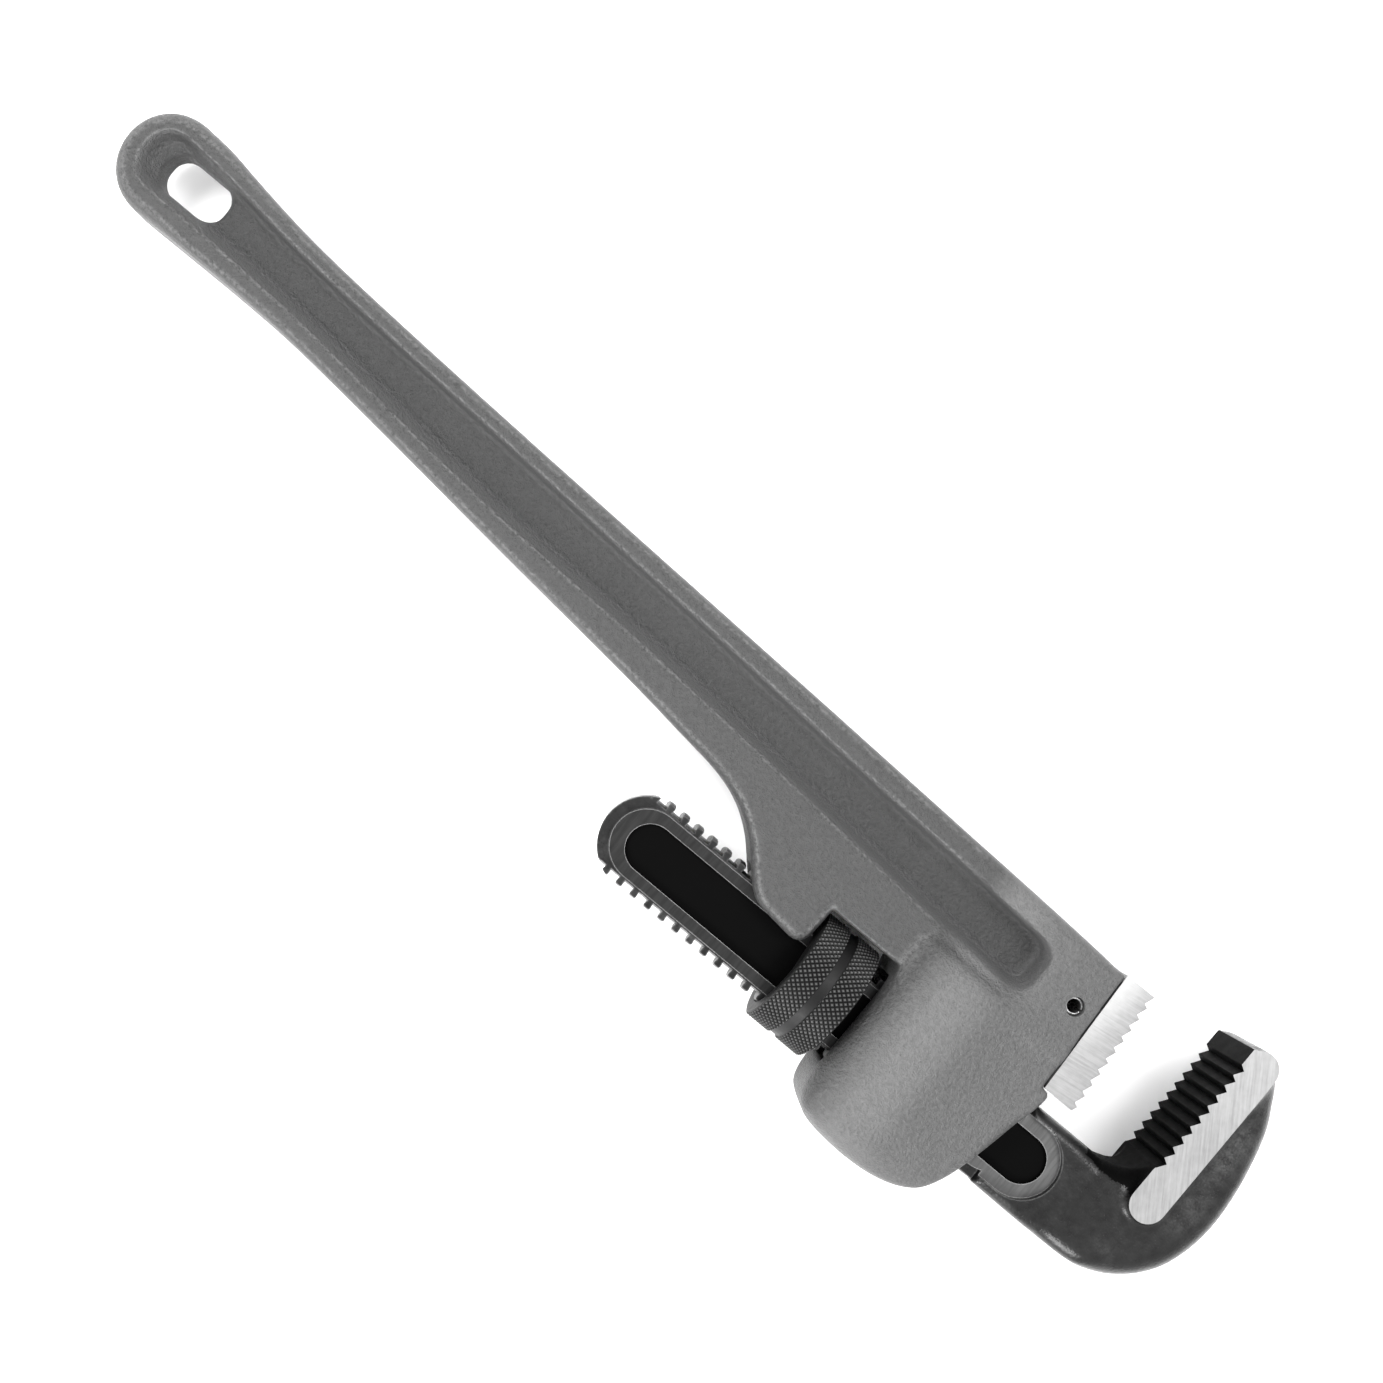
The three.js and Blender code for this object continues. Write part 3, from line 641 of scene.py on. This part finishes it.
# the casting: handle, head and housing
casting = {
    "endCentre": (-291.2, 61.8), "endRadius": 15.8,
    "edgeRadius": 3.2, "endEdgeRadius": 5.5,
    "plate": [(-302, 10.8), (-285, 11.2), (-200, 10.6), (-100, 10.9), (-40, 12.2), (10, 13.4),
              (40, 15.2), (50, 15.6), (66, 13.4), (70, 13.1)],
    "barrel": [(13.4, 11.5), (15.3, 14.8), (18.6, 17.6), (23, 19.3), (27, 19.6), (37, 19.6),
               (41, 18.9), (50, 16.5), (60, 14.4), (66, 13.4), (70, 13.1)],
    "barrelCrown": [(-32.2, 8.5), (-29.8, 12.8), (-26, 16.8), (-21.5, 19.6), (-16, 21.8), (-10, 23.5),
                    (20, 23.5), (26, 21.6), (31, 18.4), (34, 12)],
    "cheekCrown": [(-32, 7.5), (-29.5, 11.6), (-25, 15), (-20, 17.8), (-14, 20.5), (-8, 22), (20, 22),
                   (26, 20.2), (32, 17.5), (38, 15.9), (46, 15.5), (66, 15.5)],
    "webHalf": 4.5, "wallLean": 2.3, "wallShift": 1.2,
    "hole": (-283.2, 62.1, 22.2, 12.4, 5.4),
    "windowRear": -10.9, "windowFront": 13.3, "windowTop": 20.2,
    "lipTop": 19.5, "backLow": 66.5, "backHigh": 64.2,
}
springs = {"x": 42, "meanRadius": 3.6, "wire": 1.3, "turns": 6, "low": 16.2, "high": 29.6,
           "pocketRadius": 5.0, "pocketTop": 30.6, "leafRear": 18, "leafFront": 55}
heel = {
    "half": 12.5, "low": 19.9, "high": 59.4, "crestLow": 77.4, "crestHigh": 74.45,
    "pitch": 3.79, "depth": 1.3, "count": 10, "lowestRoot": 22.3, "slopeShare": 0.776,
    "tangRear": 53.0, "tangLow": 34, "tangHigh": 52, "tangHalf": 5,
    "pinX": 58.2, "pinY": 43.0, "pinRadius": 2.6, "pinWall": 0.6, "pinSlit": 0.9, "pinHalf": 12.9,
}


def castingOutline():
    size = casting
    centre, radius = size["endCentre"], size["endRadius"]
    low, high = 268, 86
    pen = Outline(centre[0] + radius * math.cos(math.radians(low)),
                  centre[1] + radius * math.sin(math.radians(low)))
    pen.spline((-275, 46.3), (-255, 46.4), (-235, 45.8), (-200, 42.9), (-150, 38.2), (-100, 33.8),
               (-75, 31.1), (-60, 29.2), (-50, 25.9), (-42, 20.6), (-35, 13.4), (-31, 9.7), (-27, 7.9),
               (-16, 6.6))
    pen.bend((size["windowRear"] - 0.6, 6.3), (size["windowRear"], 11))
    pen.line((size["windowRear"], size["windowTop"]), (size["windowFront"], size["windowTop"]),
             (size["windowFront"], -18.5))
    pen.bend((14, -29), (25, -31.4))
    pen.spline((31, -32.4), (38, -32.7), (46, -31.7), (53, -28.6), (58, -24.2), (61.6, -18),
               (64.3, -9.5), (66.8, 2), (68.8, 13))
    pen.line((69.4, size["lipTop"] - 1.6), (68.6, size["lipTop"]), (66.3, size["lipTop"]),
             (size["backHigh"] - 0.25, 58.8))
    pen.spline((30, 60.5), (0, 61.7), (-40, 63.3), (-80, 64.8), (-120, 66.2), (-160, 67.6),
               (-200, 69.2), (-230, 70.7), (-250, 72.3), (-268, 74.8), (-280, 76.8),
               (centre[0] + radius * math.cos(math.radians(high)),
                centre[1] + radius * math.sin(math.radians(high))))
    return pen.arc(centre, radius, high, low, 40).points


def channelOutline():
    pen = Outline(39, 35.1).bend((45, 35.3), (45.2, 41)).line((45.3, 46)).bend((45, 52), (38, 52.4))
    pen.spline((25, 53.2), (0, 54.3), (-30, 55.6), (-80, 58.4), (-120, 60.2), (-150, 61.8),
               (-200, 64.0), (-220, 65.0), (-250, 67.0), (-275, 69.9), (-291, 71.2))
    rounded = np.array([(-291, 71.2), (-302, 71), (-302, 54), (-292, 53.4)])
    for t in np.linspace(0, 1, 17)[1:]:
        weights = ((1 - t) ** 3, 3 * t * (1 - t) ** 2, 3 * t * t * (1 - t), t ** 3)
        pen.line(tuple(np.dot(weights, rounded)))
    return pen.spline((-270, 53.1), (-250, 52.4), (-225, 51), (-200, 48.9), (-155, 45.4),
                      (-100, 43.6), (-45, 40.5), (0, 37.4), (25, 35.9), (39, 35.1)).points


def roundedHole(x, y, width, height, corner):
    reach, rise = width / 2 - corner, height / 2 - corner
    pen = Outline(x + reach, y - rise - corner)
    for side, up, start in ((1, -1, -90), (1, 1, 0), (-1, 1, 90), (-1, -1, 180)):
        pen.arc((x + side * reach, y + up * rise), corner, start, start + 90, 10)
    return pen.points


def pinBore():
    # what the heel jaw's pin hole takes out of the casting and out of the jaw
    size = heel
    radius = size["pinRadius"] + 0.25
    bore = turned("bore", [(-30, 0), (-30, radius), (30, radius), (30, 0)], 40)
    centre = Matrix.Translation((size["pinX"], size["pinY"], 0))
    bore.data.transform(centre @ Matrix.Rotation(math.pi / 2, 4, "Y"))
    return bore


def makeCasting():
    size = casting
    # the skin is finest on the head, coarser at the handle's end and coarsest between them
    xs = np.concatenate([np.arange(-312, -262, 1.15), np.arange(-262, -62, 2.4),
                         np.arange(-62, 72.5, 0.85)])
    ys = np.arange(-36, 81, 0.85)
    zs = np.arange(0, 22, 0.85)
    x, y, z = xs[:, None, None], ys[None, :, None], zs[None, None, :]
    flatX, flatY = xs[:, None], ys[None, :]
    plan = distanceTo(castingOutline(), flatX, flatY)[:, :, None]

    plateTop = Outline(-311, 9.2).spline(*size["plate"]).points
    plateSide = distanceTo(mirrored(plateTop), flatX, zs[None, :])[:, None, :]
    plate = np.maximum(plateSide, -boxField(x, y, z, (10, -60, -30), (90, 18.5, 30), 1.0))
    plate = np.maximum(plate, -boxField(x, y, z, (18, -60, -30), (90, 29, 30), 1.0))

    barrelSide = distanceTo(mirrored(Outline(13, 8.5).spline(*size["barrel"]).points),
                            flatX, zs[None, :])[:, None, :]
    crowns = [distanceTo(mirrored(Outline(-33, start).spline(*size[name]).points),
                         flatY.T, zs[None, :])[None, :, :]
              for name, start in (("barrelCrown", 4.5), ("cheekCrown", 3.5))]
    toCheek = step(36, 50, x)
    barrel = common(barrelSide, crowns[0] * (1 - toCheek) + crowns[1] * toCheek, 3.0)
    edge = size["endEdgeRadius"] + (size["edgeRadius"] - size["endEdgeRadius"]) * step(-300, -265, x)
    atWindow = step(-13, -9, x) * (1 - step(15, 19, x)) * step(9, 19, y) * (1 - step(23, 26, y))
    body = blendMin(plate, barrel, 4.0 - 3.4 * step(30, 40, y))
    atJaw = step(60, 64, x) * step(5, 15, y)
    body = common(body, plan, edge - 2.2 * np.maximum(atWindow, atJaw))

    crest = distanceTo(channelOutline(), flatX, flatY)[:, :, None]
    floor = distanceTo(channelOutline(), flatX, flatY - size["wallShift"])[:, :, None] + size["wallLean"]
    marks = np.array(plateTop)
    top = np.interp(xs, marks[:, 0], marks[:, 1])[:, None, None]
    web = size["webHalf"] + 0.5 * step(0.6, 2.2, x)
    rise = np.clip((z - web) / (top - web), 0, 1)
    body = blendMax(body, -common(floor * (1 - rise) + crest * rise, web - z, 2.2), 1.2)
    body = blendMax(body, -distanceTo(roundedHole(*size["hole"]), flatX, flatY)[:, :, None], 1.6)

    rear, front = size["windowRear"], size["windowFront"]
    crestTop = thread["crestRadius"] + running
    lift = math.sin(rockAngle)
    frontSlot = [(front - 1, -crestTop), (80, -crestTop), (80, crestTop + 80 * lift),
                 (front - 1, crestTop + 1.2)]
    openings = [
        boxField(x, y, z, (-60, -20, -7.1), (rear + 1, crestTop + 0.3, 7.1), 0.3),
        np.maximum(distanceTo(frontSlot, flatX, flatY)[:, :, None], z - 8.3),
        boxField(x, y, z, (springs["leafRear"] - 2, 0, -6), (springs["leafFront"] + 1.5, 19.2, 6), 0.3),
        np.maximum(np.hypot(x - springs["x"], z) - springs["pocketRadius"],
                   np.maximum(y - springs["pocketTop"], 10 - y)),
        boxField(x, y, z,
                 (heel["tangRear"] - running, heel["tangLow"] - running, -heel["tangHalf"] - running),
                 (80, heel["tangHigh"] + running, heel["tangHalf"] + running), 0.3),
    ]
    for opening in openings:
        body = blendMax(body, -opening, 0.6)
    piece = skinOf("castHandle", xs, ys, zs, body)
    combine(piece, pinBore())
    paint(piece, "cast")
    return finished(piece, "castHandle", "housing", "handle", 50)


makeCasting()
print("casting done")


# saw teeth on both jaws
toothRow = toothTree()


def toothCutter(name, size, place, turn, rootShare, clear):
    cutter = grown(name, toothRow, {
        "Count": size["count"], "Pitch": size["pitch"], "Depth": size["depth"],
        "Root Place": size["pitch"] * rootShare, "Crest Width": 0.16, "Half Width": 16.0, "Clear": clear})
    outwards(cutter)
    cutter.data.transform(Matrix.Translation(place) @ Matrix.Rotation(turn, 4, "Z"))
    return cutter


# the heel jaw and its pin
def makeHeelJaw():
    size = heel
    lean = (size["crestLow"] - size["crestHigh"]) / (size["high"] - size["low"])

    def crestX(y):
        return size["crestLow"] - lean * (y - size["low"])

    lowestCrest = 21.45
    outline = [(casting["backHigh"] + running, size["high"]), (casting["backLow"] + running, size["low"]),
               (size["crestLow"] - 0.75, size["low"]), (crestX(lowestCrest), lowestCrest),
               (size["crestHigh"], size["high"])]
    piece = prism("heelJaw", outline, -size["half"], size["half"])
    tang = block("tang", (size["tangRear"], size["tangLow"], -size["tangHalf"]),
                 (casting["backHigh"] + 4, size["tangHigh"], size["tangHalf"]))
    combine(piece, tang, "UNION")
    highest = size["lowestRoot"] + size["pitch"] * (size["count"] - 1 + size["slopeShare"])
    turn = math.pi + math.atan(lean)
    cutter = toothCutter("heelTeeth", size, (crestX(highest), highest, 0), turn, size["slopeShare"], 2.0)
    combine(piece, cutter)
    combine(piece, pinBore())
    bevelled(piece, 0.18)
    paint(piece, "ground")
    return finished(piece, "heelJaw", "housing", "heel_jaw", 25)


def makeHeelPin():
    size = heel
    slit = math.degrees(math.asin(size["pinSlit"] / 2 / size["pinRadius"]))
    centre, outer = (size["pinX"], size["pinY"]), size["pinRadius"]
    pen = Outline(centre[0] + outer, centre[1]).arc(centre, outer, slit, 360 - slit, 48)
    pen.arc(centre, outer - size["pinWall"], 360 - slit, slit, 48)
    piece = prism("heelPin", pen.points[1:], -size["pinHalf"], size["pinHalf"])
    bevelled(piece, 0.12)
    paint(piece, "spring")
    return finished(piece, "heelPin", "housing", "heel_jaw_pin", 30)


makeHeelJaw()
makeHeelPin()
print("heel jaw and pin done")


# the hook jaw: threaded shank and toothed hook in one forging
hook = {
    "half": 11.5, "landHalf": 13.5, "neckHalf": 7.6,
    "toothLine": 104.9, "pitch": 3.78, "depth": 1.7, "count": 10, "lowestRoot": 25.4, "steepShare": 0.3,
    "landX": 109.9, "landLow": 13.3, "landHigh": 62.8, "landRadius": 5.3,
}
shank = {
    "half": 5.8, "borderRadius": 10.85, "toothHalf": 4.4, "rearCentre": -62.5, "front": 66,
    "flatEnd": 76.8, "flatRadius": 11.5,
    "recessRear": -61.2, "recessFront": 77.0, "recessRadius": 7.3, "recessDepth": 1.3,
    "turnsBehind": 15, "ridgeTurns": 24, "plainFrom": 44.0, "forgingFrom": 70.0,
}
helixSweep = helixTree()


def threadRidge(name, firstTurn, turns, crestRadius, grow):
    sunk = 0.8
    middle = (thread["rootRadius"] - sunk + crestRadius) / 2
    ridge = grown(name, helixSweep, {
        "Turns": float(turns), "Pitch": thread["pitch"], "Radius": middle, "Steps": thread["stepsPerTurn"],
        "Root Width": 2 * (thread["rootHalfWidth"] + grow),
        "Crest Width": 2 * (thread["crestHalfWidth"] + grow),
        "Height": crestRadius - thread["rootRadius"] + sunk, "Rounding": 0.45, "Wire Radius": 0.0})
    start = thread["phase"] + firstTurn * thread["pitch"]
    alongX = Matrix(((0, 0, 1, 0), (1, 0, 0, 0), (0, -1, 0, 0), (0, 0, 0, 1)))
    ridge.data.transform(Matrix.Translation((start, 0, 0)) @ alongX)
    outwards(ridge)
    return ridge


def hookOutline(rear):
    size = hook
    pen = Outline(rear, -14.4).line((91, -14.6))
    pen.spline((101, -14.3), (109.8, -12.9), (117.3, -9.6), (124.3, -3.1), (129, 5.5), (131.4, 18),
               (130.4, 33), (126.6, 49), (121.9, 58.7), (118, 64.8), (114.6, 67.4), (111, 68.3))
    pen.bend((107, 68.3), (size["toothLine"], 66.2)).line((size["toothLine"], 24.6))
    return pen.bend((104.8, 17.6), (98.8, 15.6)).line((95, 14.4), (rear, 14.4)).points


def makeForging():
    size = hook
    xs = np.arange(shank["forgingFrom"] - 2, 134, 0.5)
    ys = np.arange(-17, 71, 0.5)
    zs = np.arange(0, 16, 0.5)
    x, y, z = xs[:, None, None], ys[None, :, None], zs[None, None, :]
    plan = distanceTo(hookOutline(shank["forgingFrom"]), xs[:, None], ys[None, :])[:, :, None]
    half = size["neckHalf"] + (size["half"] - size["neckHalf"]) * step(93, 108, x)
    edge = 3.5 + 1.5 * step(84, 100, x) + 2.5 * step(104, 116, x)
    body = common(plan, z - half, edge)
    land = distanceTo(capsule(size["landX"], size["landLow"], size["landX"], size["landHigh"],
                              size["landRadius"]), xs[:, None], ys[None, :])[:, :, None]
    land = common(land, z - 15, 0.5)
    jaw = np.maximum(common(plan, z - 15, 0.6),
                     boxField(x, y, z, (100, 22, -20), (110, 66.4, 20), 0.5))
    body = np.maximum(blendMin(body, blendMin(land, jaw, 0.5), 3.0), plan)
    return skinOf("forging", xs, ys, zs, np.maximum(body, z - 14.4))


def makeHookJaw():
    size = shank
    rear = thread["phase"] - size["turnsBehind"] * thread["pitch"] - 2
    root, crest, plain = thread["rootRadius"], thread["crestRadius"], size["plainFrom"]
    core = turned("core", [(rear, 0), (rear, root), (plain, root), (plain, crest), (90, crest), (90, 0)], 96)
    combine(core, threadRidge("ridge", -size["turnsBehind"], size["ridgeTurns"], crest, 0.0), "UNION")
    blank = prism("blank", capsule(size["rearCentre"], 0, size["front"], 0, size["borderRadius"]),
                  -size["half"], size["half"])
    teeth = prism("teeth", capsule(size["rearCentre"], 0, size["front"], 0, crest),
                  -size["toothHalf"], size["toothHalf"])
    combine(blank, teeth, "UNION")
    piece = combine(blank, core, "INTERSECT")
    combine(piece, makeForging(), "UNION")
    combine(piece, block("groundTop", (0, -60, hook["landHalf"]), (200, 100, 40)))
    combine(piece, block("groundBase", (0, -60, -40), (200, 100, -hook["landHalf"])))
    floor = size["half"] - size["recessDepth"]
    for side in (1, -1):
        flat = prism("flat", capsule(10, 0, size["flatEnd"], 0, size["flatRadius"]),
                     *sorted((side * size["half"], side * 30)))
        combine(piece, flat)
        pocket = capsule(size["recessRear"], 0, size["recessFront"], 0, size["recessRadius"])
        recess = prism("recess", pocket, *sorted((side * floor, side * 30)))
        combine(piece, recess)
    rootShare = 1 - hook["steepShare"]
    firstCrest = hook["lowestRoot"] - hook["pitch"] * rootShare
    combine(piece, toothCutter("hookTeeth", hook, (hook["toothLine"], firstCrest, 0), 0, rootShare, 3.0))

    land, flats, recessRadius = hook["landHalf"], size["half"], size["recessRadius"]
    recessEnd = recessRadius + 0.3

    def inRecess(c):
        return (floor - 0.02 < abs(c.z) < flats - 0.05 and abs(c.y) < recessRadius + 0.05
                and size["recessRear"] - recessEnd < c.x < size["recessFront"] + recessEnd)

    paint(piece, "forged",
          ("milled", lambda c, n: abs(abs(c.z) - flats) < 0.02 and abs(n.z) > 0.9 and c.x < 95),
          ("black", lambda c, n: inRecess(c)),
          ("land", lambda c, n: abs(abs(c.z) - land) < 0.02 and abs(n.z) > 0.9),
          ("black", lambda c, n: hook["toothLine"] - 1 < c.x < 107 and 24 < c.y < 66 and n.x < -0.2),
          ("black", lambda c, n: 90 < c.x < 107 and 12 < c.y < 66 and 0.8 * n.y - 0.6 * n.x > 0.45))
    return finished(piece, "hookJaw", "hook", "hook_jaw", 32)


makeHookJaw()
print("hook jaw done")


# the adjusting nut: a turned ring whose bands take a diamond knurl
nut = {
    "radius": 19.0, "half": 9.7, "bandInner": 1.7, "bandOuter": 9.2, "grooveDepth": 0.7,
    "bore": 12.6, "threadGroove": 14.75, "clearance": 0.27,
    "diamondsRound": 70, "diamondRows": 9, "knurlDepth": 0.55,
}


def knurlTree():
    # lowers every other point of the marked bands, so that the facets meet in diamond points
    tree, given, out = newGroup("diamondKnurl", "GeometryNodeTree", [
        ("Geometry", "Geometry", None), ("Depth", "Float", 0.5), ("Material", "Material", None)],
        [("Geometry", "Geometry")])
    low = addNode(tree, "GeometryNodeInputNamedAttribute", {"Name": "low"}, data_type="FLOAT").outputs[0]
    place = addNode(tree, "GeometryNodeInputPosition").outputs[0]
    radial = addNode(tree, "ShaderNodeVectorMath", {0: place, 1: (0.0, 1.0, 1.0)}, operation="MULTIPLY")
    unit = addNode(tree, "ShaderNodeVectorMath", {0: radial.outputs[0]}, operation="NORMALIZE")
    sink = calc(tree, "MULTIPLY", calc(tree, "MULTIPLY", low, given["Depth"]), -1.0)
    shift = addNode(tree, "ShaderNodeVectorMath", {0: unit.outputs[0], "Scale": sink}, operation="SCALE")
    moved = addNode(tree, "GeometryNodeSetPosition", {
        "Geometry": given["Geometry"], "Offset": shift.outputs[0]})
    facets = addNode(tree, "GeometryNodeTriangulate", {"Mesh": moved.outputs[0]},
                     quad_method="SHORTEST_DIAGONAL")
    whole = addNode(tree, "GeometryNodeRealizeInstances", {"Geometry": facets.outputs[0]})
    painted = addNode(tree, "GeometryNodeSetMaterial", {
        "Geometry": whole.outputs[0], "Material": given["Material"]})
    tree.links.new(painted.outputs[0], out["Geometry"])
    return tree


def makeNut():
    size = nut
    rows = size["diamondRows"]
    inner, outer = size["bandInner"], size["bandOuter"]
    band = np.linspace(inner, outer, rows)
    radius, groove = size["radius"], size["radius"] - size["grooveDepth"]
    right = [(0.9, groove), (1.4, groove), *((a, radius) for a in band), (9.45, radius - 0.6),
             (size["half"], radius - 1.0), (size["half"], size["bore"])]
    left = [(-a, r) for a, r in reversed(right)]
    piece = turned("adjustingNut", left + [(0.0, groove)] + right, 2 * size["diamondsRound"])
    low = piece.data.attributes.new("low", "FLOAT", "POINT")
    spacing = (outer - inner) / (rows - 1)
    for vertex in piece.data.vertices:
        along, y, z = vertex.co
        if math.hypot(y, z) > radius - 0.01 and inner - 0.01 < abs(along) < outer + 0.01:
            row = round((abs(along) - inner) / spacing)
            column = round(math.atan2(z, y) / math.pi * size["diamondsRound"])
            low.data[vertex.index].value = (row + column) % 2
    knurl = {"Depth": size["knurlDepth"], "Material": finishes["blacked"]}
    grown("adjustingNut", knurlTree(), knurl, piece)
    turns = math.ceil(2 * size["half"] / thread["pitch"]) + 2
    combine(piece, threadRidge("nutThread", -turns // 2, turns, size["threadGroove"], size["clearance"]))
    paint(piece, "blacked")
    return finished(piece, "adjustingNut", "nut", "adjusting_nut", 25)


makeNut()
print("nut done")


# the springs inside the housing
def makeCoilSpring():
    size = springs
    pitch = (size["high"] - size["low"] - size["wire"]) / size["turns"]
    piece = grown("coilSpring", helixSweep, {
        "Turns": float(size["turns"]), "Pitch": pitch, "Radius": size["meanRadius"], "Steps": 40,
        "Wire Radius": size["wire"] / 2, "Material": finishes["spring"]})
    foot = size["low"] + size["wire"] / 2
    upright = Matrix(((1, 0, 0, size["x"]), (0, 0, 1, foot), (0, -1, 0, 0), (0, 0, 0, 1)))
    piece.data.transform(upright)
    outwards(piece)
    paint(piece, "spring")
    finished(piece, "coilSpring", "housing", "coil_spring", 60)
    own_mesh(piece)


makeCoilSpring()
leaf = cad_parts["flat_spring"]
leaf.data.materials.clear()
leaf.data.materials.append(finishes["spring"])
print("springs done")


# floor, light and camera
studio = {
    "floorTone": 0.95, "skyTone": 1.0, "skyStrength": 1.35,
    "lamps": [("keyLamp", (200, 280, 520), 240, 2.8), ("fillLamp", (40, -440, 280), 240, 4.0),
              ("handleLamp", (-420, 60, 420), 260, 3.6)],
    "lens": 40.09, "shift": (0.0372, 0.0134), "cameraPlace": (-89.0, 28.8, 446.6), "cameraTurn": 39.8,
}


def makeFloor():
    half = 2.5
    floor = makeMesh("floor", [(-half, -half, 0), (half, -half, 0), (half, half, 0), (-half, half, 0)],
                     [(0, 1, 2, 3)])
    material = bpy.data.materials.new("paleFloor")
    material.use_nodes = True
    shader = material.node_tree.nodes["Principled BSDF"]
    shader.inputs["Base Color"].default_value = grey(studio["floorTone"])
    shader.inputs["Roughness"].default_value = 0.9
    floor.data.materials.append(material)


def makeLights():
    world = bpy.data.worlds.new("softSky")
    world.use_nodes = True
    sky = world.node_tree.nodes["Background"]
    sky.inputs["Color"].default_value = grey(studio["skyTone"])
    sky.inputs["Strength"].default_value = studio["skyStrength"]
    bpy.context.scene.world = world
    for name, place, across, power in studio["lamps"]:
        data = bpy.data.lights.new(name, "AREA")
        data.shape = "DISK"
        data.size = across * mm
        data.energy = power
        lamp = bpy.data.objects.new(name, data)
        bpy.context.scene.collection.objects.link(lamp)
        lamp.location = toRow @ Vector(place)
        aim = zero - lamp.location
        lamp.rotation_euler = aim.to_track_quat("-Z", "Y").to_euler()


def makeCamera():
    data = bpy.data.cameras.new("camera")
    data.sensor_width = 36.0
    data.lens = studio["lens"]
    data.shift_x, data.shift_y = studio["shift"]
    camera = bpy.data.objects.new("camera", data)
    bpy.context.scene.collection.objects.link(camera)
    camera.location = toRow @ Vector(studio["cameraPlace"])
    camera.rotation_euler = (0, 0, math.radians(studio["cameraTurn"]))
    bpy.context.scene.camera = camera


makeFloor()
makeLights()
makeCamera()
bpy.context.scene.view_settings.view_transform = "Standard"
print("floor, light and camera ready")
